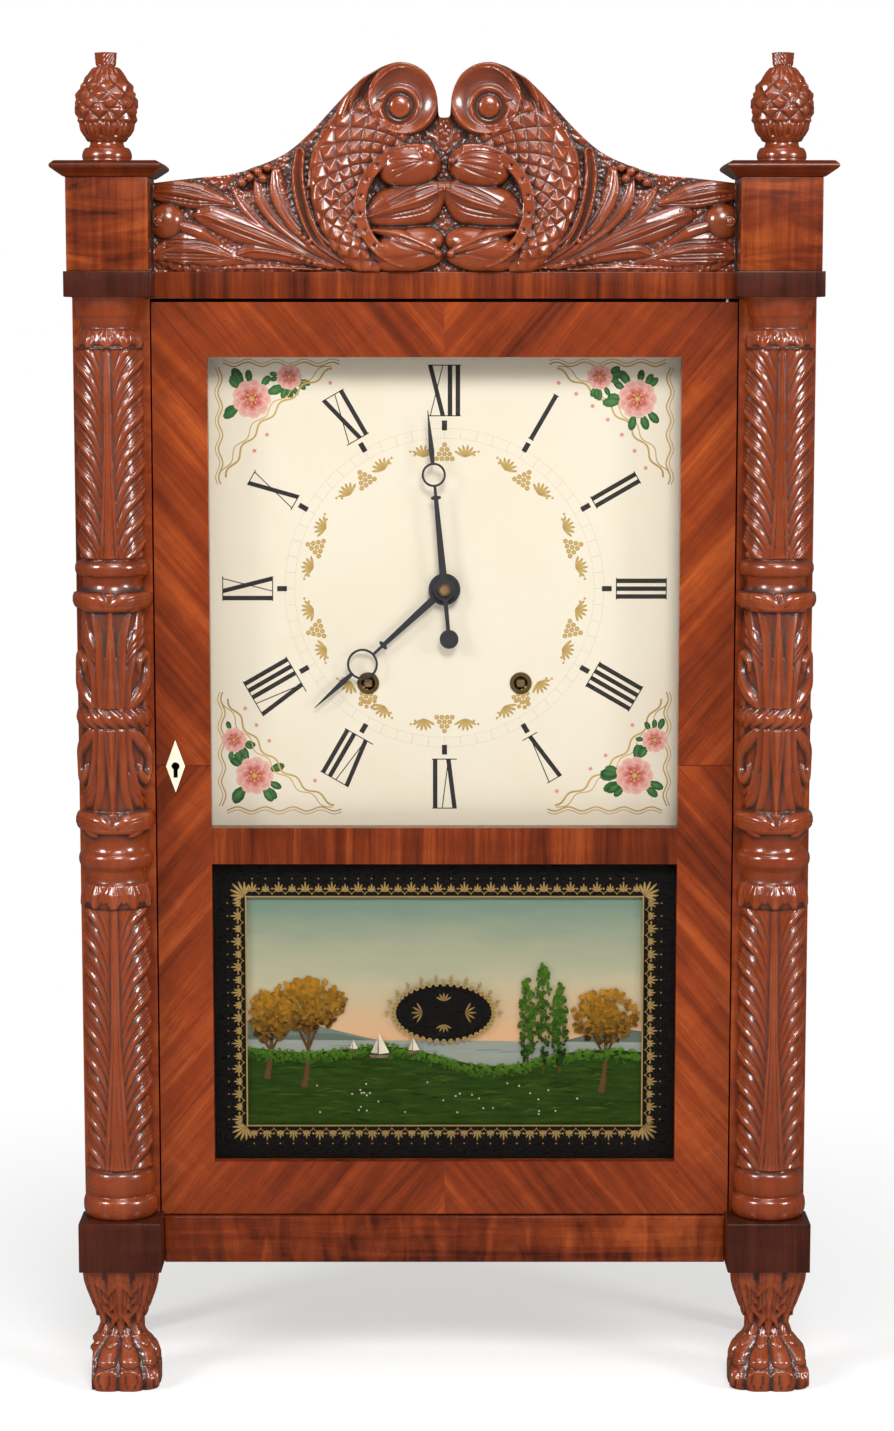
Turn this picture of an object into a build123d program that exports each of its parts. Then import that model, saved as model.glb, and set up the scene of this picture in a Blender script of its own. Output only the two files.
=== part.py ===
from build123d import *

import os
from math import asin, atan2, cos, degrees, hypot, pi, radians, sin

# Shelf clock with a carved crest, carved half columns and paw feet.
# Millimetres, +Z up. The front faces -Y. The origin lies on the floor under the middle of the clock.

# Overall sizes
overall_height = 914.0
case_width = 503.0
case_depth = 120.0
toe_projection = 40.0

# Case boards
side_thick = 14.0
stile_thick = 12.0
back_thick = 12.0
top_thick = 12.0
bottom_thick = 12.0
foot_height = 84.0
bottom_rail_height = 33.0
bottom_rail_lip = 4.0
bottom_rail_drop = 1.5
top_rail_height = 18.0
stile_width = 52.2

# Door
door_thick = 18.0
door_stile_width = 37.4
door_side_gap = 1.1
door_bottom_gap = 1.0
door_top_gap = 2.3
door_bottom_rail = 37.4
door_top_rail = 36.9
door_mid_rail = 25.2
dial_opening_height = 322.4
rabbet_width = 6.0
rabbet_shoulder = 9.0
glass_thick = 2.0
glass_clearance = 0.3
bead_width = 5.5
bead_depth = 6.0
pivot_inset = 6.7
pivot_depth = 3.0
pivot_radius = 1.25
pivot_in_rail = 8.0
pivot_in_door = 10.0
running_clearance = 0.05

# Lock and escutcheon
lock_below_door_top = 316.2
escutcheon_width = 13.1
escutcheon_height = 36.3
escutcheon_thick = 1.5
escutcheon_proud = 0.4
escutcheon_inset = 13.1
keyhole_radius = 2.8
keyhole_slot_width = 3.0
keyhole_slot_drop = 8.0
lock_case_height = 56.0
lock_case_width = 27.0
lock_case_depth = 8.5
lock_wall = 1.6
bolt_height = 12.0
bolt_thick = 4.0
bolt_length = 20.0
bolt_setback = 2.8
bolt_throw = 7.0
bolt_clearance = 0.3

# Corner stacks: plinth block, half column, frieze block, die, cap and finial
block_inset = 27.0
column_inset = 25.3
column_forward = 4.0
plinth_width = 57.0
plinth_height = 34.5
plinth_projection = 36.0
frieze_width = 58.5
frieze_height = 17.0
frieze_projection = 33.0
die_width = 54.6
die_height = 62.0
die_projection = 30.0
cap_height = 10.5
cap_overhang = 9.6
cap_bed_overhang = 1.2
cap_top_overhang = 6.6
cap_bed_height = 6.0
cap_edge_height = 2.0
finial_height = 72.0

# Crest
crest_thick = 20.0
crest_setback = 3.0
crest_end_gap = 1.2
crest_shoulder_height = 59.0
crest_height = 138.5
volute_offset = 29.8
volute_drop = 29.4
volute_radius = 25.0
volute_button_radius = 11.0
volute_relief = 12.0
volute_button_relief = 17.0
horn_relief = 11.0
fruit_relief = 14.0
spray_relief = 7.0

# Feet
paw_width = 55.0
paw_leg_depth = 44.0
ankle_width = 32.0
sawn_face_inset = 8.5
lost_toes_height = 30.0
rear_foot_top = 24.0
rear_foot_toe = 18.0
rear_foot_inset = 14.5

# Dial
dial_setback = 30.0
dial_thick = 8.0
dial_side_margin = 9.2
dial_margin = 8.0
hand_centre_drop = 159.3
winding_offset = 53.0
winding_drop = 65.7
winding_hole_radius = 5.8
ring_flange_radius = 7.6
ring_bore_radius = 4.8
ring_flange_thick = 0.8
centre_hole_radius = 6.5

# Hands
hand_thick = 1.2
minute_hand_length = 123.5
minute_hand_tail = 34.4
minute_ring_distance = 79.3
minute_ring_radius = 8.3
minute_collar_distance = 63.5
minute_hub_radius = 7.5
minute_hand_angle = -5.3
hour_hand_length = 121.9
hour_ring_distance = 76.9
hour_ring_radius = 10.7
hour_collar_distance = 57.4
hour_hub_radius = 11.0
hour_hand_angle = 227.6
hand_ring_wire = 1.5
hour_hand_stand = 6.0
minute_hand_stand = 9.5
collet_radius = 4.4
collet_thick = 2.5
arbor_tip_stand = 13.5

# Movement frame
front_zone = 16.0
plate_thick = 6.0
train_space = 38.0
plate_half_width = 134.0
plate_below_centre = 117.0
plate_above_centre = 53.0
pillar_radius = 6.0
pillar_inset = 12.0
mount_rail_width = 12.0
mount_rail_above_centre = 87.0

# Wheels
wheel_thick = 5.0
train_arbor_radius = 2.0
great_arbor_radius = 3.5
centre_arbor_radius = 3.0
winding_square = 4.8
great_module = 1.5
great_teeth = 56
second_pinion_leaves = 8
second_module = 1.32
second_teeth = 48
centre_teeth = 56
third_pinion_leaves = 7
third_module = 1.1
third_teeth = 60
escape_pinion_leaves = 6
escape_teeth = 45
escape_radius = 24.0
escape_tooth_height = 4.0
escape_drop = 74.0
verge_above_escape = 35.0
motion_module = 1.0
cannon_leaves = 12
minute_wheel_teeth = 36
minute_pinion_leaves = 10
hour_wheel_teeth = 40
pin_wheel_module = 1.1
pin_circle_radius = 20.0
fly_pinion_leaves = 6
fly_direction = 130.0
fly_half_span = 18.0
fly_vane_thick = 1.6
count_module = 0.9
count_pinion_leaves = 6
count_wheel_teeth = 78
count_direction = 60.0
tooth_addendum = 0.75
tooth_dedendum = 1.15
tooth_half_widths = (0.24, 0.20, 0.09)
leaf_half_widths = (0.12, 0.16, 0.08)
fewest_wheel_teeth = 20

# Drums, cords, pulleys and weights
drum_radius = 15.0
drum_flange_radius = 20.0
drum_flange_thick = 2.0
cord_radius = 1.25
cord_gap = 0.3
cord_plane_setback = 86.0
pulley_radius = 14.0
pulley_rim = 2.5
pulley_thick = 6.0
pulley_axle_radius = 2.0
slot_lead = 4.0
weight_radius = 19.0
weight_height = 165.0
weight_side_inset = 45.5
weight_floor_gap = 6.0
weight_travel = 430.0
weight_eye_height = 12.0

# Pendulum, hammer and bell
pendulum_length = 252.0
pendulum_rod_radius = 1.0
pendulum_eye_radius = 3.5
pendulum_eye_thick = 3.0
bob_radius = 21.0
bob_thick = 11.0
bob_rim = 2.0
bell_radius = 32.0
bell_depth = 16.0
bell_wall = 2.5
bell_offset = 62.0
bell_below_centre = 181.0
hammer_arbor_below_centre = 83.0
hammer_gap = 0.6
hammer_head_radius = 5.0
hammer_arm_radius = 1.3

# Planes and levels worked out from the sizes
front_y = toe_projection - (case_depth + toe_projection) / 2
stile_back_y = front_y + stile_thick
back_y = front_y + case_depth
inner_back_y = back_y - back_thick
case_half = case_width / 2
inner_half = case_half - side_thick
stile_inner = case_half - stile_width
door_half = stile_inner - door_side_gap
opening_half = door_half - door_stile_width
dial_half_width = opening_half + dial_side_margin
weight_offset = inner_half - weight_side_inset
case_bottom = foot_height
rail_low = case_bottom - bottom_rail_drop
rail_top = rail_low + bottom_rail_height
door_low = rail_top + door_bottom_gap
case_top = overall_height - finial_height - cap_height - die_height
top_rail_low = case_top - top_rail_height
door_high = top_rail_low - door_top_gap
floor_board_top = case_bottom + bottom_thick
tablet_low = door_low + door_bottom_rail
dial_high = door_high - door_top_rail
dial_low = dial_high - dial_opening_height
tablet_high = dial_low - door_mid_rail
hand_centre_height = dial_high - hand_centre_drop
plate_low = hand_centre_height - plate_below_centre
plate_high = hand_centre_height + plate_above_centre
mount_rail_top = hand_centre_height + mount_rail_above_centre
bell_centre_height = hand_centre_height - bell_below_centre
hammer_arbor_height = hand_centre_height - hammer_arbor_below_centre
block_x = case_half - block_inset
column_x = case_half - column_inset
column_y = front_y - column_forward
plinth_top = case_bottom + plinth_height
frieze_low = case_top - frieze_height
die_top = case_top + die_height
cap_top = die_top + cap_height
die_centre_y = front_y - die_projection + die_width / 2
dial_face_y = front_y + dial_setback
dial_back_y = dial_face_y + dial_thick
front_plate_y = dial_back_y + front_zone
train_y = front_plate_y + plate_thick
back_plate_y = train_y + train_space
plate_back_y = back_plate_y + plate_thick
cord_y = front_y + cord_plane_setback

# Depths of the wheels between and in front of the plates
third_wheel_y = train_y + 2.0
second_wheel_y = third_wheel_y + wheel_thick + 1.5
great_wheel_y = second_wheel_y + wheel_thick + 2.0
drum_y = great_wheel_y + wheel_thick + 1.0
drum_length = back_plate_y - 1.0 - drum_y
escape_wheel_y = front_plate_y - 6.0
escape_thick = 2.5
motion_y = front_plate_y - 1.0
count_wheel_y = front_plate_y - 8.0

os.makedirs("parts", exist_ok=True)


def save(builder, name):
    """Label a finished piece and write it."""
    builder.part.label = name
    export_step(builder.part, "parts/" + name + ".step")


def board(x, y, z, mode=Mode.ADD):
    """A square-edged board that spans three (low, high) pairs."""
    with Locations(((x[0] + x[1]) / 2, (y[0] + y[1]) / 2, (z[0] + z[1]) / 2)):
        Box(x[1] - x[0], y[1] - y[0], z[1] - z[0], mode=mode)


def mirrored(pair, side):
    """A (low, high) pair on the right, or its mirror image on the left."""
    return pair if side > 0 else (-pair[1], -pair[0])


def facing(y, x=0.0, z=0.0):
    """A sketch plane seen from the front: local x is X, local y is Z, extruding towards the front."""
    return Plane(origin=(x, y, z), x_dir=(1, 0, 0), z_dir=(0, -1, 0))


def rod(x, z, y_front, y_back, radius, mode=Mode.ADD):
    """A round bar along Y between two depths."""
    with BuildSketch(facing(y_back, x, z)) as outline:
        Circle(radius)
    extrude(outline.sketch, amount=y_back - y_front, mode=mode)


def turned_profile(start_radius, mouldings):
    """Half outline of a turning, from mouldings of (height, end radius, bulge) stacked upwards."""
    height = 0.0
    radius = start_radius
    Line((0, 0), (radius, 0))
    for rise, end_radius, bulge in mouldings:
        low = (radius, height)
        high = (end_radius, height + rise)
        if bulge:
            middle = ((radius + end_radius) / 2 + bulge, height + rise / 2)
            ThreePointArc(low, middle, high)
        else:
            Line(low, high)
        height += rise
        radius = end_radius
    Line((radius, height), (0, height))
    Line((0, height), (0, 0))


def tooth_points(teeth, module, phase):
    """Outline of a toothed wheel with one tooth centred at the phase angle, in degrees."""
    pitch_radius = module * teeth / 2
    root = pitch_radius - tooth_dedendum * module
    tip = pitch_radius + tooth_addendum * module
    widths = tooth_half_widths if teeth >= fewest_wheel_teeth else leaf_half_widths
    flank = list(zip((root, pitch_radius, tip), widths))
    points = []
    for index in range(teeth):
        middle = radians(phase + index * 360.0 / teeth)
        for way, stations in ((-1, flank), (1, flank[::-1])):
            for radius, width in stations:
                angle = middle + way * width * pi * module / radius
                points.append((radius * cos(angle), radius * sin(angle)))
    return points


def toothed(x, z, y_front, thick, teeth, module, phase):
    """A toothed wheel or pinion about a Y axis."""
    with BuildSketch(facing(y_front + thick, x, z)) as outline:
        with BuildLine():
            Polyline(*tooth_points(teeth, module, phase), close=True)
        make_face()
    extrude(outline.sketch, amount=thick)


def third_point(first, second, first_distance, second_distance, side):
    """The point at given distances from two others, on the side given by +1 or -1."""
    span = hypot(second[0] - first[0], second[1] - first[1])
    along = (first_distance ** 2 - second_distance ** 2 + span ** 2) / (2 * span)
    across = side * (first_distance ** 2 - along ** 2) ** 0.5
    ux = (second[0] - first[0]) / span
    uz = (second[1] - first[1]) / span
    return (first[0] + along * ux - across * uz, first[1] + along * uz + across * ux)


def polar_point(start, distance, direction):
    """The point at a distance from another, in a direction in degrees."""
    return (start[0] + distance * cos(radians(direction)), start[1] + distance * sin(radians(direction)))


def mesh_phase(driver, driver_teeth, driver_phase, driven, teeth):
    """Phase of a driven wheel whose gap meets the driver's tooth on the line of centres."""
    direction = degrees(atan2(driven[1] - driver[1], driven[0] - driver[0]))
    driver_share = (direction - driver_phase) * driver_teeth / 360.0
    return direction + 180.0 - (360.0 / teeth) * (0.5 - driver_share)


def centre_distance(module, first_teeth, second_teeth):
    """Distance between the arbors of two wheels in mesh."""
    return module * (first_teeth + second_teeth) / 2


# Arbor positions, seen from the front
centre = (0.0, hand_centre_height)
time_great = (-winding_offset, hand_centre_height - winding_drop)
escape = (0.0, hand_centre_height - escape_drop)
verge_pivot = (0.0, escape[1] + verge_above_escape)
great_distance = centre_distance(great_module, great_teeth, second_pinion_leaves)
second_distance = centre_distance(second_module, second_teeth, centre_teeth)
second = third_point(time_great, centre, great_distance, second_distance, 1)
third_distance = centre_distance(second_module, centre_teeth, third_pinion_leaves)
escape_distance = centre_distance(third_module, third_teeth, escape_pinion_leaves)
third = third_point(centre, escape, third_distance, escape_distance, 1)
motion_distance = centre_distance(motion_module, cannon_leaves, minute_wheel_teeth)
minute_arbor = (centre[0], centre[1] + motion_distance)
hour_module = 2 * motion_distance / (minute_pinion_leaves + hour_wheel_teeth)
strike_great = (-time_great[0], time_great[1])
pin_arbor = (-second[0], second[1])
fly_distance = centre_distance(pin_wheel_module, second_teeth, fly_pinion_leaves)
fly_arbor = polar_point(pin_arbor, fly_distance, fly_direction)
count_distance = centre_distance(count_module, count_pinion_leaves, count_wheel_teeth)
count_arbor = polar_point(pin_arbor, count_distance, count_direction)
hammer_arbor = (bell_offset + bell_radius + hammer_gap + hammer_head_radius, hammer_arbor_height)

# Case boards
side_span = (case_half - side_thick, case_half)
inner_depth = (stile_back_y, inner_back_y)
with BuildPart() as case_sides:
    for side in (-1, 1):
        board(mirrored(side_span, side), inner_depth, (case_bottom, case_top))
save(case_sides, "case_sides")

with BuildPart() as back_board:
    board((-case_half, case_half), (inner_back_y, back_y), (case_bottom, case_top))
save(back_board, "back_board")

with BuildPart() as case_bottom_board:
    board((-inner_half, inner_half), inner_depth, (case_bottom, floor_board_top))
save(case_bottom_board, "case_bottom_board")

# The top board has a slot and an axle hole for each pulley
pulley_cord_radius = pulley_radius + cord_radius + cord_gap
pulley_x = weight_offset - pulley_cord_radius
pulley_z = case_top - top_thick / 2
slot_half_length = pulley_radius + pulley_rim + 2 * cord_radius + slot_lead
slot_half_width = pulley_thick / 2 + 1.0
axle_half_length = slot_half_width + 8.0
with BuildPart() as case_top_board:
    board((-inner_half, inner_half), inner_depth, (case_top - top_thick, case_top))
    for side in (-1, 1):
        middle = side * pulley_x
        slot_x = (middle - slot_half_length, middle + slot_half_length)
        slot_y = (cord_y - slot_half_width, cord_y + slot_half_width)
        board(slot_x, slot_y, (case_top - top_thick, case_top), mode=Mode.SUBTRACT)
        axle_front = cord_y - axle_half_length - 0.3
        axle_back = cord_y + axle_half_length + 0.3
        axle_hole = pulley_axle_radius + running_clearance
        rod(middle, pulley_z, axle_front, axle_back, axle_hole, mode=Mode.SUBTRACT)
save(case_top_board, "case_top_board")

with BuildPart() as stile_boards:
    for side in (-1, 1):
        board(mirrored((stile_inner, case_half), side), (front_y, stile_back_y), (case_bottom, case_top))
save(stile_boards, "stile_boards")

# Rails above and below the door, each with a hole for a door pivot pin
pivot_x = door_half - pivot_inset
pivot_y = front_y + pivot_depth


def pivot_hole(low, high):
    """An upright hole for a pivot pin."""
    with Locations((pivot_x, pivot_y, (low + high) / 2)):
        Cylinder(pivot_radius + running_clearance, high - low, mode=Mode.SUBTRACT)


with BuildPart() as top_rail:
    board((-stile_inner, stile_inner), (front_y, stile_back_y), (top_rail_low, case_top))
    pivot_hole(top_rail_low, top_rail_low + pivot_in_rail)
save(top_rail, "top_rail")

plinth_inner = block_x - plinth_width / 2
with BuildPart() as bottom_rail:
    board((-stile_inner, stile_inner), (front_y, stile_back_y), (rail_low, rail_top))
    board((-plinth_inner, plinth_inner), (front_y - bottom_rail_lip, front_y), (rail_low, rail_top))
    pivot_hole(rail_top - pivot_in_rail, rail_top)
save(bottom_rail, "bottom_rail")

# Corner stacks
with BuildPart() as plinth_blocks:
    for side in (-1, 1):
        span = (block_x - plinth_width / 2, block_x + plinth_width / 2)
        board(mirrored(span, side), (front_y - plinth_projection, front_y), (case_bottom, plinth_top))
save(plinth_blocks, "plinth_blocks")

with BuildPart() as frieze_blocks:
    for side in (-1, 1):
        span = (block_x - frieze_width / 2, block_x + frieze_width / 2)
        board(mirrored(span, side), (front_y - frieze_projection, front_y), (frieze_low, case_top))
save(frieze_blocks, "frieze_blocks")

with BuildPart() as corner_dies:
    for side in (-1, 1):
        span = (block_x - die_width / 2, block_x + die_width / 2)
        depth = (die_centre_y - die_width / 2, die_centre_y + die_width / 2)
        board(mirrored(span, side), depth, (case_top, die_top))
save(corner_dies, "corner_dies")

cap_sections = (
    (die_top, cap_bed_overhang),
    (die_top + cap_bed_height, cap_overhang),
    (die_top + cap_bed_height + cap_edge_height, cap_overhang),
    (cap_top, cap_top_overhang),
)
with BuildPart() as die_caps:
    for side in (-1, 1):
        for height, overhang in cap_sections:
            with BuildSketch(Plane(origin=(side * block_x, die_centre_y, height))):
                Rectangle(die_width + 2 * overhang, die_width + 2 * overhang)
        loft(ruled=True)
save(die_caps, "die_caps")

# Half columns, turned whole and split at the face of the stile boards
lower_shaft = 183.5
column_height = frieze_low - plinth_top
column_foot = (
    (14.5, 24.0, 1.8),
    (1.5, 22.6, 0.0),
    (17.0, 22.2, 2.4),
    (1.5, 20.8, 0.0),
)
column_waist = (
    (0.6, 23.2, 0.0),
    (17.0, 23.2, 2.0),
    (8.0, 21.8, -0.8),
    (2.5, 23.4, 0.0),
    (10.0, 23.4, 2.3),
    (12.0, 23.0, -1.4),
    (17.0, 23.4, 2.4),
    (57.0, 24.0, 0.6),
    (15.0, 24.0, 1.4),
    (65.0, 24.0, 0.8),
    (13.0, 23.4, 2.8),
    (11.0, 22.4, -1.8),
    (10.5, 22.4, 3.0),
    (1.5, 21.0, 0.0),
)
column_head = (
    (0.6, 22.6, 0.0),
    (13.0, 19.8, 1.6),
    (9.5, 21.6, -0.6),
    (0.8, 22.4, 0.0),
    (12.5, 25.2, -0.8),
)
fixed_height = sum(row[0] for row in column_foot + column_waist + column_head)
upper_shaft = column_height - fixed_height - lower_shaft
column_mouldings = (
    column_foot
    + ((lower_shaft, 21.4, 0.4),)
    + column_waist
    + ((upper_shaft, 21.8, 0.6),)
    + column_head
)
for side, hand in ((-1, "left"), (1, "right")):
    with BuildPart() as half_column:
        with BuildSketch(facing(column_y, side * column_x, plinth_top)):
            with BuildLine():
                turned_profile(23.6, column_mouldings)
            make_face()
        revolve(axis=Axis((side * column_x, column_y, 0), (0, 0, 1)))
        split(bisect_by=Plane(origin=(0, front_y, 0), z_dir=(0, -1, 0)), keep=Keep.TOP)
    save(half_column, "half_column_" + hand)

# Pineapple finials
finial_body = finial_height - 27.0
finial_mouldings = (
    (2.0, 17.0, 0.2),
    (9.0, 12.6, 1.6),
    (3.0, 11.3, -0.2),
    (3.5, 14.6, 0.0),
    (finial_body * 0.42, 20.6, 1.6),
    (finial_body * 0.58, 8.0, 4.6),
)
stem_height = finial_height - sum(row[0] for row in finial_mouldings)
with BuildPart() as finials:
    for side in (-1, 1):
        with BuildSketch(facing(die_centre_y, side * column_x, cap_top)):
            with BuildLine():
                turned_profile(16.6, finial_mouldings + ((stem_height, 6.6, 0.0),))
            make_face()
        revolve(axis=Axis((side * column_x, die_centre_y, 0), (0, 0, 1)))
save(finials, "finials")

# Crest: a scrolled board with two volutes, horns, fruit and leaf sprays standing out of it
crest_half = block_x - die_width / 2 - crest_end_gap
crest_front = front_y + crest_setback
volute_centre = (volute_offset, case_top + crest_height - volute_drop)
crest_peak = (volute_offset, case_top + crest_height)
saddle = (0.0, volute_centre[1] - 7.0)
shoulder_points = (
    (crest_half, case_top + crest_shoulder_height),
    (crest_half * 0.74, case_top + 65.5),
    (crest_half * 0.54, case_top + 79.5),
    (volute_offset + 45.2, case_top + 108.0),
    (volute_offset + 22.2, crest_peak[1] - 8.5),
)
with BuildPart() as crest:
    with BuildSketch(facing(crest_front + crest_thick)):
        with BuildLine():
            Line((0, case_top), (crest_half, case_top))
            Line((crest_half, case_top), shoulder_points[0])
            Spline(*shoulder_points)
            ThreePointArc(shoulder_points[-1], crest_peak, (9.0, volute_centre[1] + 21.0))
            ThreePointArc((9.0, volute_centre[1] + 21.0), (4.2, volute_centre[1] + 4.0), saddle)
            Line(saddle, (0, case_top))
        make_face()
        mirror(about=Plane.YZ)
    extrude(amount=crest_thick)
    for side in (-1, 1):
        volute_x = side * volute_offset
        rod(volute_x, volute_centre[1], crest_front - volute_relief, crest_front, volute_radius)
        rod(volute_x, volute_centre[1], crest_front - volute_button_relief, crest_front, volute_button_radius)
        with BuildSketch(facing(crest_front, side * 66.0, case_top + 66.0)):
            Ellipse(27, 52, rotation=side * 24)
        extrude(amount=horn_relief)
        with BuildSketch(facing(crest_front, side * 25.0, case_top + 42.0)):
            Ellipse(21, 38)
        extrude(amount=fruit_relief)
        with BuildSketch(facing(crest_front, side * crest_half * 0.7, case_top + 30.0)):
            Ellipse(crest_half * 0.255, 24, rotation=side * -8)
        extrude(amount=spray_relief)
save(crest, "crest")

# Front feet: a leg that narrows to an ankle and spreads into a paw
paw_half = paw_width / 2
paw_sections = (
    (0.0, paw_half - 1.0, toe_projection - 2.0, 10.0),
    (9.0, paw_half, toe_projection - 0.2, 11.0),
    (20.0, paw_half - 5.0, toe_projection - 7.0, 10.0),
    (33.0, ankle_width / 2, toe_projection - 17.0, 7.0),
    (52.0, ankle_width / 2 + 4.0, toe_projection - 13.0, 7.0),
    (70.0, paw_half - 3.0, toe_projection - 7.0, 8.0),
    (foot_height, paw_half - 1.5, toe_projection - 6.0, 9.0),
)
with BuildPart() as front_feet:
    for side in (-1, 1):
        for height, half, reach, behind in paw_sections:
            middle_y = front_y + (behind - reach) / 2
            with BuildSketch(Plane(origin=(side * column_x, middle_y, height))):
                RectangleRounded(2 * half, reach + behind, 7.5)
        loft(ruled=True)
    # the outer toes of the left paw are lost, leaving a flat face
    sawn_x = -column_x - paw_half + sawn_face_inset
    lost_toes_x = (sawn_x - sawn_face_inset - 1, sawn_x)
    lost_toes_y = (front_y - toe_projection, front_y + toe_projection / 2)
    board(lost_toes_x, lost_toes_y, (0, lost_toes_height), mode=Mode.SUBTRACT)
save(front_feet, "front_feet")

with BuildPart() as rear_feet:
    for side in (-1, 1):
        for height, width in ((0.0, rear_foot_toe), (case_bottom, rear_foot_top)):
            origin = (side * (case_half - rear_foot_inset), back_y - rear_foot_inset, height)
            with BuildSketch(Plane(origin=origin)):
                Rectangle(width, width)
        loft(ruled=True)
save(rear_feet, "rear_feet")

# Upright rails that carry the movement plates and the dial
with BuildPart() as mounting_rails:
    for side in (-1, 1):
        span = (plate_half_width, plate_half_width + mount_rail_width)
        board(mirrored(span, side), (dial_back_y, inner_back_y), (floor_board_top, mount_rail_top))
save(mounting_rails, "mounting_rails")

# Door frame
door_depth = (front_y, front_y + door_thick)
rabbet_depth = (front_y + rabbet_shoulder, front_y + door_thick)
openings = ((tablet_low, tablet_high), (dial_low, dial_high))
rabbet_half = opening_half + rabbet_width


def cut_rabbets():
    """Cut the step for both panes out of the back of a frame piece."""
    for low, high in openings:
        span = (low - rabbet_width, high + rabbet_width)
        board((-rabbet_half, rabbet_half), rabbet_depth, span, mode=Mode.SUBTRACT)


lock_x = -(door_half - escutcheon_inset)
lock_z = door_high - lock_below_door_top
lock_x_span = (-door_half, -door_half + lock_case_width)
lock_z_span = (lock_z - lock_case_height / 2, lock_z + lock_case_height / 2)
lock_y_span = (front_y + door_thick - lock_case_depth, front_y + door_thick)
half_tall = escutcheon_height / 2
half_wide = escutcheon_width / 2
diamond = ((0, half_tall), (half_wide, 0), (0, -half_tall), (-half_wide, 0))


def keyhole(y_front, y_back):
    """Cut a keyhole with a round eye and a straight slot below it."""
    with BuildSketch(facing(y_back, lock_x, lock_z)) as outline:
        Circle(keyhole_radius)
        with Locations((0, -keyhole_slot_drop / 2)):
            Rectangle(keyhole_slot_width, keyhole_slot_drop)
    extrude(outline.sketch, amount=y_back - y_front, mode=Mode.SUBTRACT)


with BuildPart() as door_stile_left:
    board((-door_half, -opening_half), door_depth, (door_low, door_high))
    cut_rabbets()
    board(lock_x_span, lock_y_span, lock_z_span, mode=Mode.SUBTRACT)
    with BuildSketch(facing(front_y + escutcheon_thick - escutcheon_proud, lock_x, lock_z)):
        with BuildLine():
            Polyline(*diamond, close=True)
        make_face()
    extrude(amount=escutcheon_thick, mode=Mode.SUBTRACT)
    keyhole(front_y, front_y + door_thick)
save(door_stile_left, "door_stile_left")

with BuildPart() as door_stile_right:
    board((opening_half, door_half), door_depth, (door_low, door_high))
    cut_rabbets()
    pivot_hole(door_low, door_low + pivot_in_door)
    pivot_hole(door_high - pivot_in_door, door_high)
save(door_stile_right, "door_stile_right")

rails = (("top", dial_high, door_high), ("mid", tablet_high, dial_low), ("bottom", door_low, tablet_low))
for place, low, high in rails:
    with BuildPart() as door_rail:
        board((-opening_half, opening_half), door_depth, (low, high))
        cut_rabbets()
    save(door_rail, "door_" + place + "_rail")

# Panes and the beads that hold them
pane_half = rabbet_half - glass_clearance
pane_depth = (front_y + rabbet_shoulder, front_y + rabbet_shoulder + glass_thick)
pane_names = ("tablet_glass", "dial_glass")
for name, (low, high) in zip(pane_names, openings):
    with BuildPart() as pane:
        pane_z = (low - rabbet_width + glass_clearance, high + rabbet_width - glass_clearance)
        board((-pane_half, pane_half), pane_depth, pane_z)
    save(pane, name)

bead_y = (pane_depth[1], pane_depth[1] + bead_depth)
with BuildPart() as glazing_beads:
    for low, high in openings:
        bead_low = low - rabbet_width
        bead_high = high + rabbet_width
        for side in (-1, 1):
            board(mirrored((rabbet_half - bead_width, rabbet_half), side), bead_y, (bead_low, bead_high))
        across = (-rabbet_half + bead_width, rabbet_half - bead_width)
        board(across, bead_y, (bead_low, bead_low + bead_width))
        board(across, bead_y, (bead_high - bead_width, bead_high))
save(glazing_beads, "glazing_beads")

with BuildPart() as keyhole_escutcheon:
    with BuildSketch(facing(front_y + escutcheon_thick - escutcheon_proud, lock_x, lock_z)):
        with BuildLine():
            Polyline(*diamond, close=True)
        make_face()
    extrude(amount=escutcheon_thick)
    keyhole(front_y - escutcheon_proud, front_y + escutcheon_thick)
save(keyhole_escutcheon, "keyhole_escutcheon")

# Lock: a case let into the stile, with a channel for its bolt
bolt_y = (lock_y_span[0] + bolt_setback, lock_y_span[0] + bolt_setback + bolt_thick)
bolt_x = (lock_x_span[0] + 0.2, lock_x_span[0] + 0.2 + bolt_length)
bolt_z = (lock_z + 10.0, lock_z + 10.0 + bolt_height)
with BuildPart() as door_lock:
    board(lock_x_span, lock_y_span, lock_z_span)
    channel_x = (lock_x_span[0], bolt_x[1] + bolt_clearance)
    channel_y = (bolt_y[0] - bolt_clearance, bolt_y[1] + bolt_clearance)
    channel_z = (bolt_z[0] - bolt_clearance, bolt_z[1] + bolt_clearance)
    board(channel_x, channel_y, channel_z, mode=Mode.SUBTRACT)
    keyhole(lock_y_span[0], lock_y_span[1] - lock_wall)
save(door_lock, "door_lock")

with BuildPart() as lock_bolt:
    board(bolt_x, bolt_y, bolt_z)
save(lock_bolt, "lock_bolt")

with BuildPart() as door_pivot_pins:
    for low, high in (
        (rail_top - pivot_in_rail, door_low + pivot_in_door - 0.5),
        (door_high - pivot_in_door + 0.5, top_rail_low + pivot_in_rail),
    ):
        with Locations((pivot_x, pivot_y, (low + high) / 2)):
            Cylinder(pivot_radius, high - low)
save(door_pivot_pins, "door_pivot_pins")

# Dial board with its winding holes and their rings
with BuildPart() as dial_board:
    span = (dial_low - dial_margin, dial_high + dial_margin)
    board((-dial_half_width, dial_half_width), (dial_face_y, dial_back_y), span)
    rod(centre[0], centre[1], dial_face_y, dial_back_y, centre_hole_radius, mode=Mode.SUBTRACT)
    for x, z in (time_great, strike_great):
        rod(x, z, dial_face_y, dial_back_y, winding_hole_radius, mode=Mode.SUBTRACT)
save(dial_board, "dial_board")

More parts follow.
